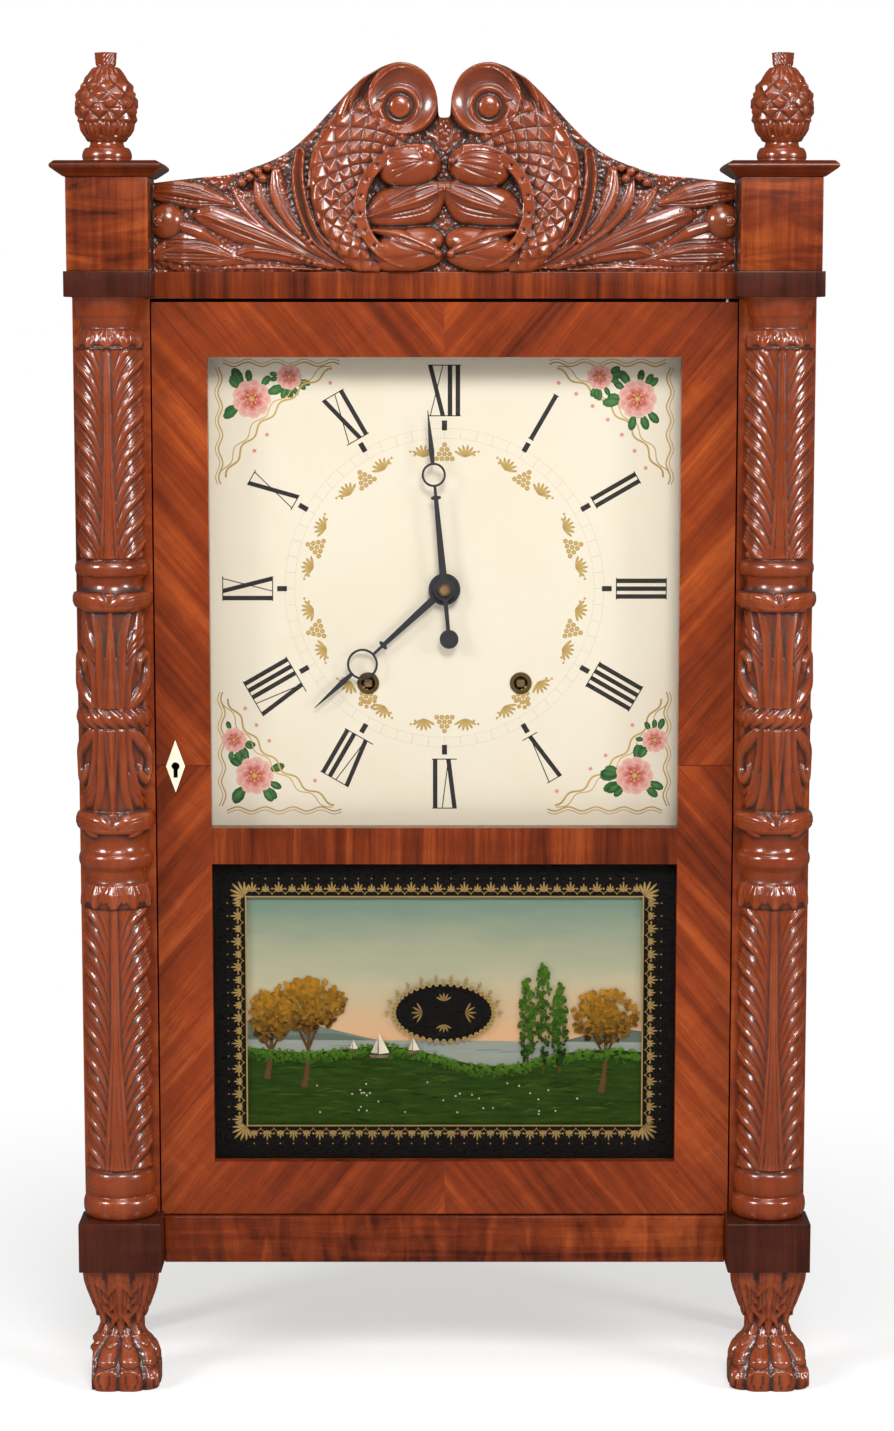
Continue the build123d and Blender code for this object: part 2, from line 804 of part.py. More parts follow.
with BuildPart() as winding_hole_rings:
    for x, z in (time_great, strike_great):
        rod(x, z, dial_face_y - ring_flange_thick, dial_face_y, ring_flange_radius)
        rod(x, z, dial_face_y, dial_back_y, winding_hole_radius)
        rod(x, z, dial_face_y - ring_flange_thick, dial_back_y, ring_bore_radius, mode=Mode.SUBTRACT)
save(winding_hole_rings, "winding_hole_rings")


def hand(y_back, hub, bore, length, ring_at, ring_radius, collar_at, angle, tail=0.0):
    """A flat iron hand that points along the given clockwise angle."""
    turn = radians(angle)
    origin = (centre[0], y_back, centre[1])
    tilt = Plane(origin=origin, x_dir=(cos(turn), 0, -sin(turn)), z_dir=(0, -1, 0))
    with BuildSketch(tilt) as outline:
        Circle(hub)
        with BuildLine():
            Polyline((-2.6, hub * 0.8), (-1.5, collar_at), (1.5, collar_at), (2.6, hub * 0.8), close=True)
        make_face()
        with BuildLine():
            neck = ring_at - ring_radius + hand_ring_wire / 2
            Polyline((-1.0, collar_at - 1), (-1.0, neck), (1.0, neck), (1.0, collar_at - 1), close=True)
        make_face()
        with Locations((0, collar_at)):
            Ellipse(3.6, 1.5)
        with BuildLine():
            top = ring_at + ring_radius - hand_ring_wire / 2
            blade = ((1.3, top), (1.9, top + 9), (0.25, length))
            Polyline(*blade, *((-x, z) for x, z in blade[::-1]), close=True)
        make_face()
        with Locations((0, ring_at)):
            Circle(ring_radius)
            Circle(ring_radius - hand_ring_wire, mode=Mode.SUBTRACT)
        if tail:
            with BuildLine():
                Polyline((-1.6, -hub * 0.8), (-1.2, -tail), (1.2, -tail), (1.6, -hub * 0.8), close=True)
            make_face()
            with Locations((0, -tail)):
                Circle(6.5)
        Circle(bore, mode=Mode.SUBTRACT)
    extrude(outline.sketch, amount=hand_thick)


hour_pipe_radius = 5.0
hour_hand_y = dial_face_y - hour_hand_stand
minute_hand_y = dial_face_y - minute_hand_stand
with BuildPart() as hour_hand:
    hand(
        hour_hand_y, hour_hub_radius, hour_pipe_radius, hour_hand_length,
        hour_ring_distance, hour_ring_radius, hour_collar_distance, hour_hand_angle,
    )
save(hour_hand, "hour_hand")

with BuildPart() as minute_hand:
    hand(
        minute_hand_y, minute_hub_radius, centre_arbor_radius, minute_hand_length,
        minute_ring_distance, minute_ring_radius, minute_collar_distance, minute_hand_angle,
        tail=minute_hand_tail,
    )
save(minute_hand, "minute_hand")

collet_y = minute_hand_y - hand_thick
with BuildPart() as hand_collet:
    rod(centre[0], centre[1], collet_y - collet_thick, collet_y, collet_radius)
    rod(centre[0], centre[1], collet_y - collet_thick, collet_y, centre_arbor_radius, mode=Mode.SUBTRACT)
save(hand_collet, "hand_collet")

# Movement plates with a hole for every arbor; the front plate carries the studs in front of it
through_arbors = (
    (time_great, great_arbor_radius),
    (strike_great, great_arbor_radius),
    (centre, centre_arbor_radius),
    (second, train_arbor_radius),
    (third, train_arbor_radius),
    (escape, train_arbor_radius),
    (pin_arbor, train_arbor_radius),
    (fly_arbor, train_arbor_radius),
    (hammer_arbor, train_arbor_radius),
)
stud_radius = 1.5
studs = ((verge_pivot, 15.0), (minute_arbor, 12.0), (count_arbor, 10.0))
plate_x = (-plate_half_width, plate_half_width)
with BuildPart() as movement_plates:
    for plate_y in (front_plate_y, back_plate_y):
        board(plate_x, (plate_y, plate_y + plate_thick), (plate_low, plate_high))
    for (x, z), radius in through_arbors:
        rod(x, z, front_plate_y, plate_back_y, radius + running_clearance, mode=Mode.SUBTRACT)
    for (x, z), length in studs:
        rod(x, z, front_plate_y - length, front_plate_y, stud_radius)
save(movement_plates, "movement_plates")

with BuildPart() as plate_pillars:
    for x in (-plate_half_width + pillar_inset, plate_half_width - pillar_inset):
        for z in (plate_low + pillar_inset, plate_high - pillar_inset):
            rod(x, z, train_y, back_plate_y, pillar_radius)
save(plate_pillars, "plate_pillars")

# Trains. Each wheel's phase puts its gap against its neighbour's tooth.
centre_phase = 0.0
second_phase = mesh_phase(centre, centre_teeth, centre_phase, second, second_teeth)
great_phase = 0.0
second_pinion_phase = mesh_phase(time_great, great_teeth, great_phase, second, second_pinion_leaves)
third_pinion_phase = mesh_phase(centre, centre_teeth, centre_phase, third, third_pinion_leaves)
third_phase = 0.0
escape_pinion_phase = mesh_phase(third, third_teeth, third_phase, escape, escape_pinion_leaves)
minute_phase = mesh_phase(centre, cannon_leaves, 0.0, minute_arbor, minute_wheel_teeth)
hour_phase = mesh_phase(minute_arbor, minute_pinion_leaves, 0.0, centre, hour_wheel_teeth)
great_depth = wheel_thick + 1.0
great_pinion_y = great_wheel_y - 0.5
fast_pinion_y = second_wheel_y - 0.5

for label, (x, z) in (("time_great_wheel", time_great), ("strike_great_wheel", strike_great)):
    with BuildPart() as great_wheel:
        # the strike side mirrors the time side, tooth for tooth
        phase = great_phase if x < 0 else 180.0 - great_phase
        toothed(x, z, great_wheel_y, wheel_thick, great_teeth, great_module, phase)
        rod(x, z, great_wheel_y - 8.0, great_wheel_y, great_arbor_radius + 5.0)
        bore = great_arbor_radius + running_clearance
        rod(x, z, great_wheel_y - 8.0, great_wheel_y + wheel_thick, bore, mode=Mode.SUBTRACT)
    save(great_wheel, label)

for label, (x, z) in (("time_drum", time_great), ("strike_drum", strike_great)):
    with BuildPart() as drum:
        rod(x, z, drum_y, drum_y + drum_length, drum_radius)
        rod(x, z, drum_y, drum_y + drum_flange_thick, drum_flange_radius)
        rod(x, z, drum_y + drum_length - drum_flange_thick, drum_y + drum_length, drum_flange_radius)
        rod(x, z, dial_face_y + 4.0, plate_back_y, great_arbor_radius)
        with BuildSketch(facing(dial_face_y + 4.0, x, z)):
            Rectangle(winding_square, winding_square)
        extrude(amount=6.0)
    save(drum, label)

with BuildPart() as second_wheel:
    toothed(*second, second_wheel_y, wheel_thick, second_teeth, second_module, second_phase)
    toothed(*second, great_pinion_y, great_depth, second_pinion_leaves, great_module, second_pinion_phase)
    rod(*second, front_plate_y, plate_back_y, train_arbor_radius)
save(second_wheel, "second_wheel")

with BuildPart() as centre_wheel:
    toothed(*centre, second_wheel_y, wheel_thick, centre_teeth, second_module, centre_phase)
    toothed(*centre, motion_y - 4.5, 4.5, cannon_leaves, motion_module, 0.0)
    rod(*centre, dial_face_y - arbor_tip_stand, plate_back_y, centre_arbor_radius)
save(centre_wheel, "centre_wheel")

with BuildPart() as third_wheel:
    toothed(*third, third_wheel_y, wheel_thick - 1.0, third_teeth, third_module, third_phase)
    toothed(*third, fast_pinion_y, great_depth, third_pinion_leaves, second_module, third_pinion_phase)
    rod(*third, front_plate_y, plate_back_y, train_arbor_radius)
save(third_wheel, "third_wheel")


def escape_points():
    """Outline of the escape wheel, with slender pointed teeth."""
    points = []
    root = escape_radius - escape_tooth_height
    for index in range(escape_teeth):
        for radius, share in ((root, 0.1), (escape_radius, 0.42), (root, 0.55)):
            angle = 2 * pi * (index + share) / escape_teeth
            points.append((radius * cos(angle), radius * sin(angle)))
    return points


with BuildPart() as escape_wheel:
    with BuildSketch(facing(escape_wheel_y + escape_thick, *escape)):
        with BuildLine():
            Polyline(*escape_points(), close=True)
        make_face()
    extrude(amount=escape_thick)
    escape_pinion_y = third_wheel_y - 0.5
    toothed(*escape, escape_pinion_y, wheel_thick, escape_pinion_leaves, third_module, escape_pinion_phase)
    rod(*escape, escape_wheel_y, plate_back_y, train_arbor_radius)
save(escape_wheel, "escape_wheel")

# Motion work behind the dial
with BuildPart() as minute_wheel:
    toothed(*minute_arbor, motion_y - 4.0, 3.0, minute_wheel_teeth, motion_module, minute_phase)
    toothed(*minute_arbor, motion_y - 10.0, 6.0, minute_pinion_leaves, hour_module, 0.0)
    bore = stud_radius + running_clearance
    rod(*minute_arbor, motion_y - 10.0, motion_y - 1.0, bore, mode=Mode.SUBTRACT)
save(minute_wheel, "minute_wheel")

with BuildPart() as hour_wheel:
    toothed(*centre, motion_y - 9.5, 3.5, hour_wheel_teeth, hour_module, hour_phase)
    rod(*centre, hour_hand_y - hand_thick, motion_y - 6.0, hour_pipe_radius)
    bore = centre_arbor_radius + running_clearance
    rod(*centre, hour_hand_y - hand_thick, motion_y - 6.0, bore, mode=Mode.SUBTRACT)
save(hour_wheel, "hour_wheel")

# Verge with its pallets and crutch, and the pendulum on the same stud
verge_y = escape_wheel_y - 0.5
pallet_reach = escape_radius + 2.2
with BuildPart() as verge:
    with BuildSketch(facing(verge_y + 3.5, *verge_pivot)):
        Circle(4.5)
        with BuildLine():
            Polyline(
                (-3.0, 3.5), (-24.0, -11.0), (-24.6, -17.0), (-21.4, -17.6), (-20.6, -12.6),
                (-3.0, -3.0), (3.0, -3.0), (20.6, -12.6), (21.4, -17.6), (24.6, -17.0),
                (24.0, -11.0), (3.0, 3.5), close=True,
            )
        make_face()
    extrude(amount=3.5)
    rod(*verge_pivot, verge_y - 4.5, verge_y, 3.0)
    bore = stud_radius + running_clearance
    rod(*verge_pivot, verge_y - 4.5, verge_y + 3.5, bore, mode=Mode.SUBTRACT)
save(verge, "verge")

pendulum_y = verge_y - 7.0
bob_z = verge_pivot[1] - pendulum_length
with BuildPart() as pendulum:
    with BuildSketch(facing(pendulum_y + pendulum_eye_thick / 2, *verge_pivot)):
        Circle(pendulum_eye_radius)
        Circle(stud_radius + running_clearance, mode=Mode.SUBTRACT)
    extrude(amount=pendulum_eye_thick)
    rod_top = verge_pivot[1] - (pendulum_eye_radius + stud_radius) / 2
    rod_foot = bob_z - bob_radius - 6.0
    with Locations((verge_pivot[0], pendulum_y, (rod_top + rod_foot) / 2)):
        Cylinder(pendulum_rod_radius, rod_top - rod_foot)
    # the bob is a lens that slides on the rod
    lens = Plane(origin=(verge_pivot[0], pendulum_y, bob_z), x_dir=(0, 1, 0), z_dir=(1, 0, 0))
    with BuildSketch(lens):
        with BuildLine():
            half = bob_thick / 2
            Line((-half, 0), (half, 0))
            ThreePointArc((half, 0), (half * 0.8, bob_radius * 0.6), (bob_rim / 2, bob_radius))
            Line((bob_rim / 2, bob_radius), (-bob_rim / 2, bob_radius))
            ThreePointArc((-bob_rim / 2, bob_radius), (-half * 0.8, bob_radius * 0.6), (-half, 0))
        make_face()
    revolve(axis=Axis((verge_pivot[0], 0, bob_z), (0, 1, 0)))
save(pendulum, "pendulum")

# Strike train
strike_second_phase = 180.0 - second_phase
strike_pinion_phase = 180.0 - second_pinion_phase
with BuildPart() as pin_wheel:
    toothed(*pin_arbor, second_wheel_y, wheel_thick, second_teeth, pin_wheel_module, strike_second_phase)
    toothed(*pin_arbor, great_pinion_y, great_depth, second_pinion_leaves, great_module, strike_pinion_phase)
    rod(*pin_arbor, front_plate_y - 8.5, plate_back_y, train_arbor_radius)
    toothed(*pin_arbor, front_plate_y - 8.5, 6.0, count_pinion_leaves, count_module, 0.0)
    for index in range(6):
        angle = 2 * pi * index / 6
        pin = (pin_arbor[0] + pin_circle_radius * cos(angle), pin_arbor[1] + pin_circle_radius * sin(angle))
        rod(*pin, second_wheel_y - 5.0, second_wheel_y, 1.2)
save(pin_wheel, "pin_wheel")

count_phase = mesh_phase(pin_arbor, count_pinion_leaves, 0.0, count_arbor, count_wheel_teeth)
with BuildPart() as count_wheel:
    toothed(*count_arbor, count_wheel_y, 4.0, count_wheel_teeth, count_module, count_phase)
    bore = stud_radius + running_clearance
    rod(*count_arbor, count_wheel_y, count_wheel_y + 4.0, bore, mode=Mode.SUBTRACT)
save(count_wheel, "count_wheel")

fly_phase = mesh_phase(pin_arbor, second_teeth, strike_second_phase, fly_arbor, fly_pinion_leaves)
with BuildPart() as fly:
    toothed(*fly_arbor, fast_pinion_y, great_depth, fly_pinion_leaves, pin_wheel_module, fly_phase)
    rod(*fly_arbor, front_plate_y, plate_back_y, train_arbor_radius)
    fly_x = (fly_arbor[0] - fly_half_span, fly_arbor[0] + fly_half_span)
    fly_z = (fly_arbor[1] - fly_vane_thick / 2, fly_arbor[1] + fly_vane_thick / 2)
    board(fly_x, (great_wheel_y + 2.0, back_plate_y - 3.0), fly_z)
save(fly, "fly")

# Bell on its post, and the hammer beside it
bell_y = inner_back_y - 30.0
with BuildPart() as bell:
    crown_y = bell_y + bell_depth
    waist_y = bell_y + bell_depth * 0.6
    bell_outline = (
        (bell_y, bell_radius),
        (waist_y, bell_radius - 6.0),
        (crown_y, 6.0),
        (crown_y, 0.0),
        (crown_y - bell_wall, 0.0),
        (crown_y - bell_wall, 5.0),
        (waist_y - 1.5, bell_radius - 8.5),
        (bell_y, bell_radius - bell_wall),
    )
    bell_centre = (bell_offset, 0, bell_centre_height)
    with BuildSketch(Plane(origin=bell_centre, x_dir=(0, 1, 0), z_dir=(1, 0, 0))):
        with BuildLine():
            Polyline(*bell_outline, close=True)
        make_face()
    revolve(axis=Axis(bell_centre, (0, 1, 0)))
    rod(bell_offset, bell_centre_height, bell_y + bell_depth - 1.0, inner_back_y, 3.0)
save(bell, "bell")

hammer_y = bell_y + 1.0
arm_length = hammer_arbor_height - bell_centre_height
with BuildPart() as hammer:
    rod(*hammer_arbor, front_plate_y, plate_back_y, train_arbor_radius)
    with Locations((hammer_arbor[0], hammer_y, bell_centre_height + arm_length / 2)):
        Cylinder(hammer_arm_radius, arm_length)
    with Locations(Location((hammer_arbor[0], hammer_y, bell_centre_height), (0, 90, 0))):
        Cylinder(hammer_head_radius, 2 * hammer_head_radius)
    rod(*hammer_arbor, hammer_y - 3.0, hammer_y + 3.0, 2 * train_arbor_radius)
save(hammer, "hammer")

# Pulleys, weights and cords
weight_low = floor_board_top + weight_floor_gap
weight_top = weight_low + weight_height
eye_top = weight_top + weight_eye_height
sides = (("time", -1, time_great), ("strike", 1, strike_great))
for label, side, _ in sides:
    with BuildPart() as pulley:
        x = side * pulley_x
        rod(x, pulley_z, cord_y - pulley_thick / 2, cord_y + pulley_thick / 2, pulley_radius)
        for face in (-1, 1):
            rim_y = sorted((cord_y + face * pulley_thick / 2, cord_y + face * (pulley_thick / 2 - 1.3)))
            rod(x, pulley_z, rim_y[0], rim_y[1], pulley_radius + pulley_rim)
        rod(x, pulley_z, cord_y - axle_half_length, cord_y + axle_half_length, pulley_axle_radius)
    save(pulley, label + "_pulley")

    with BuildPart() as weight:
        with BuildSketch(Plane(origin=(side * weight_offset, cord_y, weight_low))):
            Circle(weight_radius)
        extrude(amount=weight_height)
        fillet(weight.edges().filter_by(GeomType.CIRCLE), 3.0)
        with BuildSketch(Plane(origin=(side * weight_offset, cord_y, weight_top))):
            Circle(3.0)
        extrude(amount=weight_eye_height)
    save(weight, label + "_weight")

drum_cord_radius = drum_radius + cord_radius + cord_gap
for label, side, great in sides:
    # the cord leaves the outer side of the drum, crosses to the inner side of the pulley and goes over it
    drum_x = abs(great[0])
    span = hypot(pulley_x - drum_x, pulley_z - great[1])
    heading = atan2(pulley_z - great[1], pulley_x - drum_x)
    lean = asin((drum_cord_radius + pulley_cord_radius) / span)
    run = heading + lean
    drum_point = (drum_x + drum_cord_radius * sin(run), great[1] - drum_cord_radius * cos(run))
    pulley_point = (pulley_x - pulley_cord_radius * sin(run), pulley_z + pulley_cord_radius * cos(run))
    over = polar_point((pulley_x, pulley_z), pulley_cord_radius, degrees(run / 2 + pi / 4))
    far_point = (pulley_x + pulley_cord_radius, pulley_z)
    with BuildPart() as cord:
        with BuildLine(facing(cord_y)) as route:
            start, up, top, down, end = (
                (side * x, z) for x, z in (drum_point, pulley_point, over, far_point, (far_point[0], eye_top))
            )
            Line(start, up)
            ThreePointArc(up, top, down)
            Line(down, end)
        with BuildSketch(Plane(origin=route.line @ 0, z_dir=route.line % 0)):
            Circle(cord_radius)
        sweep()
    save(cord, label + "_cord")
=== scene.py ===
from math import atan2, cos, pi, radians, sin, tau

import bmesh
import bpy
import numpy as np
from bpy.props import FloatProperty, FloatVectorProperty, IntProperty, PointerProperty
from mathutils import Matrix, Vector


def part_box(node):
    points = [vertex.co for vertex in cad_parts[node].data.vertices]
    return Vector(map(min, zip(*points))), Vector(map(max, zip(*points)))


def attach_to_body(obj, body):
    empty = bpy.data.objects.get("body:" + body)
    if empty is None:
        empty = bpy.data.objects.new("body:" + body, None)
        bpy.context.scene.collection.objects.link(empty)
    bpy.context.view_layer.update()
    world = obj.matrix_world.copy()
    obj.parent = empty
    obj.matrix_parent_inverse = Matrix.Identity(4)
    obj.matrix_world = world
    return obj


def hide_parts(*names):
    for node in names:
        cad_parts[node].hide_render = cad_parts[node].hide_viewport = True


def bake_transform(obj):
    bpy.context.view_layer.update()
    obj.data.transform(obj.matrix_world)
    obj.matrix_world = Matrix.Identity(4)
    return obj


bl_info = {
    "name": "Carved Shelf Clock",
    "version": (1, 0, 0),
    "blender": (4, 5, 0),
    "location": "View3D > Sidebar > Shelf Clock",
    "description": "Dresses a carved mahogany shelf clock: carving, veneer, dial, tablet and stage",
    "category": "Object",
}

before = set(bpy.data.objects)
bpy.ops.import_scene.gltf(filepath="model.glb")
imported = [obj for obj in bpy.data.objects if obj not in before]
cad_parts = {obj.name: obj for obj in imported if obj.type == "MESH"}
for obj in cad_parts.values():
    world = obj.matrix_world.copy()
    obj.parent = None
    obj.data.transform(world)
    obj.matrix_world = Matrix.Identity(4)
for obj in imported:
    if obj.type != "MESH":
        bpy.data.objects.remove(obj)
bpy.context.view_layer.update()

MM = 0.001
FRONT = -40.0
CASE_TOP = 769.5
COLUMN_X = 226.2
COLUMN_Y = -44.0
FINIAL_Y = -42.7
CREST_FRONT = -37.0
CREST_THICK = 20.0
DIAL_CENTRE = (0.0, 553.0)
WINDING_X, WINDING_Z = 53.0, 487.3
DIAL_FACE = -10.0
TABLET_BACK = -29.0
DOOR_MIDDLE = 0.4335


# Shader helpers


def node(tree, kind, inputs=None, **settings):
    """Add a shader node; an input that is a socket is linked, and any other is set."""
    made = tree.nodes.new(kind)
    for key, value in settings.items():
        setattr(made, key, value)
    for key, value in (inputs or {}).items():
        if isinstance(value, bpy.types.NodeSocket):
            tree.links.new(value, made.inputs[key])
        else:
            made.inputs[key].default_value = value
    return made


def reckon(tree, operation, first, second=0.0, clamp=False):
    """One Math node's result."""
    return node(
        tree, "ShaderNodeMath", {0: first, 1: second}, operation=operation, use_clamp=clamp,
    ).outputs[0]


def times(tree, first, second, clamp=False):
    """The product of two values."""
    return reckon(tree, "MULTIPLY", first, second, clamp)


def rescale(tree, value, low, high, to_low=0.0, to_high=1.0):
    """Map a value from one span to another, held at the ends."""
    inputs = {0: value, 1: low, 2: high, 3: to_low, 4: to_high}
    return node(tree, "ShaderNodeMapRange", inputs).outputs[0]


def mix_colours(tree, share, first, second, mode="MIX"):
    """Blend two colours."""
    inputs = {0: share, 6: first, 7: second}
    return node(tree, "ShaderNodeMix", inputs, data_type="RGBA", blend_type=mode).outputs[2]


def noise(tree, vector, scale, detail=3.0, rough=0.5, distortion=0.0):
    """Soft random values over a vector."""
    inputs = {
        "Vector": vector, "Scale": scale, "Detail": detail, "Roughness": rough, "Distortion": distortion,
    }
    return node(tree, "ShaderNodeTexNoise", inputs).outputs[0]


def stretched(tree, vector, scale, turn=(0.0, 0.0, 0.0)):
    """A vector turned, then scaled along each of its axes."""
    inputs = {0: vector, "Rotation": turn, "Scale": scale}
    return node(tree, "ShaderNodeMapping", inputs, vector_type="POINT").outputs[0]


def object_vector(tree):
    """Coordinates in metres that stay with the piece."""
    return node(tree, "ShaderNodeTexCoord").outputs["Object"]


def rgba(colour):
    """A colour with full alpha."""
    return (colour[0], colour[1], colour[2], 1.0)


def new_group(name, takes, gives):
    """An empty shader node group with named sockets."""
    tree = bpy.data.node_groups.new(name, "ShaderNodeTree")
    kinds = {"F": "NodeSocketFloat", "C": "NodeSocketColor", "V": "NodeSocketVector"}
    for socket, kind in takes:
        tree.interface.new_socket(socket, in_out="INPUT", socket_type=kinds[kind])
    for socket, kind in gives:
        tree.interface.new_socket(socket, in_out="OUTPUT", socket_type=kinds[kind])
    return tree, tree.nodes.new("NodeGroupInput").outputs, tree.nodes.new("NodeGroupOutput")


def give(tree, ends, name, socket):
    """Connect a result to a group's output."""
    tree.links.new(socket, ends.inputs[name])


def use_group(tree, name, inputs):
    """Place a shared effect in a material and return its outputs."""
    made = tree.nodes.new("ShaderNodeGroup")
    made.node_tree = bpy.data.node_groups[name]
    for key, value in inputs.items():
        if isinstance(value, bpy.types.NodeSocket):
            tree.links.new(value, made.inputs[key])
        else:
            made.inputs[key].default_value = value
    return made.outputs


def build_wood_figure():
    """Grain, pores and cross figure of polished wood; local X runs along the grain."""
    takes = (("Vector", "V"), ("Light", "C"), ("Mid", "C"), ("Dark", "C"), ("Ripple", "F"), ("Pores", "F"))
    gives = (("Color", "C"), ("Roughness", "F"), ("Height", "F"))
    tree, start, ends = new_group("wood_figure", takes, gives)
    vector = start["Vector"]
    sway = noise(tree, stretched(tree, vector, (5.0, 9.0, 9.0)), 1.0, 2.0)
    bands = noise(tree, stretched(tree, vector, (3.0, 60.0, 60.0)), 1.0, 5.0, 0.62, 0.9)
    fine = noise(tree, stretched(tree, vector, (14.0, 420.0, 420.0)), 1.0, 4.0, 0.7, 0.3)
    ripple = noise(tree, stretched(tree, vector, (60.0, 14.0, 14.0)), 1.0, 3.0, 0.55, 1.2)
    pores = noise(tree, stretched(tree, vector, (110.0, 1500.0, 1500.0)), 1.0, 2.0, 0.6)
    tone = reckon(tree, "ADD", times(tree, bands, 0.62), times(tree, fine, 0.16))
    tone = reckon(tree, "ADD", tone, times(tree, sway, 0.32))
    cross = times(tree, reckon(tree, "SUBTRACT", ripple, 0.5), start["Ripple"])
    tone = rescale(tree, reckon(tree, "ADD", tone, cross), 0.36, 0.74)
    low = mix_colours(tree, rescale(tree, tone, 0.0, 0.5), start["Dark"], start["Mid"])
    colour = mix_colours(tree, rescale(tree, tone, 0.5, 1.0), low, start["Light"])
    pore = times(tree, rescale(tree, pores, 0.58, 0.7), start["Pores"])
    colour = mix_colours(tree, pore, colour, start["Dark"])
    give(tree, ends, "Color", colour)
    give(tree, ends, "Roughness", rescale(tree, reckon(tree, "ADD", fine, pore), 0.3, 1.3, 0.0, 0.16))
    give(tree, ends, "Height", reckon(tree, "SUBTRACT", times(tree, fine, 0.5), pore))


def build_door_quarters():
    """Turns the door's face into four mirrored quarters whose grain runs out from the middle in an X."""
    takes = (("Vector", "V"), ("Joint Height", "F"), ("Tilt", "F"))
    tree, start, ends = new_group("door_quarters", takes, (("Vector", "V"), ("Seam", "F")))
    parts = node(tree, "ShaderNodeSeparateXYZ", {0: start["Vector"]}).outputs
    across = reckon(tree, "ABSOLUTE", parts[0])
    level = reckon(tree, "SUBTRACT", parts[2], start["Joint Height"])
    away = reckon(tree, "ABSOLUTE", level)
    side = reckon(tree, "SIGN", parts[0])
    half = reckon(tree, "SIGN", level)
    shift = reckon(tree, "ADD", times(tree, side, 0.004), times(tree, half, 0.007))
    turned = node(tree, "ShaderNodeCombineXYZ", {0: across, 1: away, 2: parts[1]}).outputs[0]
    angle = times(tree, start["Tilt"], -1.0)
    spun = node(tree, "ShaderNodeVectorRotate", {"Vector": turned, "Angle": angle}, rotation_type="Z_AXIS")
    moved = node(tree, "ShaderNodeVectorMath", {0: spun.outputs[0], 1: shift}, operation="ADD").outputs[0]
    seam = rescale(tree, away, 0.0002, 0.0006, 1.0, 0.0)
    give(tree, ends, "Vector", moved)
    give(tree, ends, "Seam", seam)


def build_carved_stain_and_shade():
    """Stain and painted shade in the carving's hollows; rubbed wear and painted highlight on its ridges."""
    takes = (("Color", "C"), ("Dark", "C"), ("Pale", "C"), ("Vector", "V"), ("Hollow", "F"), ("Ridge", "F"))
    gives = (("Color", "C"), ("Roughness", "F"), ("Height", "F"))
    tree, start, ends = new_group("carved_stain_and_shade", takes, gives)
    patchy = noise(tree, stretched(tree, start["Vector"], (70.0, 70.0, 45.0)), 1.0, 4.0, 0.6)
    dust = noise(tree, stretched(tree, start["Vector"], (900.0, 900.0, 900.0)), 1.0, 2.0, 0.6)
    # Darkening in the hollows: old stain and painted shade, made patchy.
    deep = times(tree, start["Hollow"], rescale(tree, patchy, 0.25, 0.6, 0.75, 1.25), clamp=True)
    # Lightening on the ridges (worn): rubbed wear and a painted highlight.
    worn = times(tree, start["Ridge"], rescale(tree, patchy, 0.4, 0.65, 0.25, 1.0), clamp=True)
    colour = mix_colours(tree, times(tree, worn, 0.55), start["Color"], start["Pale"])
    colour = mix_colours(tree, deep, colour, start["Dark"])
    grime = times(tree, rescale(tree, dust, 0.6, 0.75), deep)
    colour = mix_colours(tree, times(tree, grime, 0.3), colour, start["Pale"])
    rough = reckon(tree, "ADD", rescale(tree, patchy, 0.3, 0.7, 0.16, 0.3), times(tree, deep, 0.3))
    give(tree, ends, "Color", colour)
    give(tree, ends, "Roughness", rough)
    give(tree, ends, "Height", times(tree, dust, 0.3))


def build_metal_age():
    """Patches, pits and fine scratches of old metal."""
    takes = (("Vector", "V"), ("Base", "C"), ("Tarnish", "C"), ("Amount", "F"))
    gives = (("Color", "C"), ("Roughness", "F"), ("Height", "F"))
    tree, start, ends = new_group("metal_age", takes, gives)
    cloud = noise(tree, start["Vector"], 130.0, 5.0, 0.65)
    pits = noise(tree, start["Vector"], 1400.0, 2.0, 0.6)
    lines = noise(tree, stretched(tree, start["Vector"], (2600.0, 400.0, 60.0)), 1.0, 2.0, 0.5)
    share = times(tree, rescale(tree, cloud, 0.38, 0.68), start["Amount"])
    give(tree, ends, "Color", mix_colours(tree, share, start["Base"], start["Tarnish"]))
    rough = reckon(
        tree, "ADD", rescale(tree, share, 0.0, 1.0, 0.2, 0.5), rescale(tree, lines, 0.3, 0.7, 0.0, 0.1),
    )
    give(tree, ends, "Roughness", rough)
    give(tree, ends, "Height", reckon(tree, "ADD", times(tree, pits, 0.5), times(tree, lines, 0.2)))


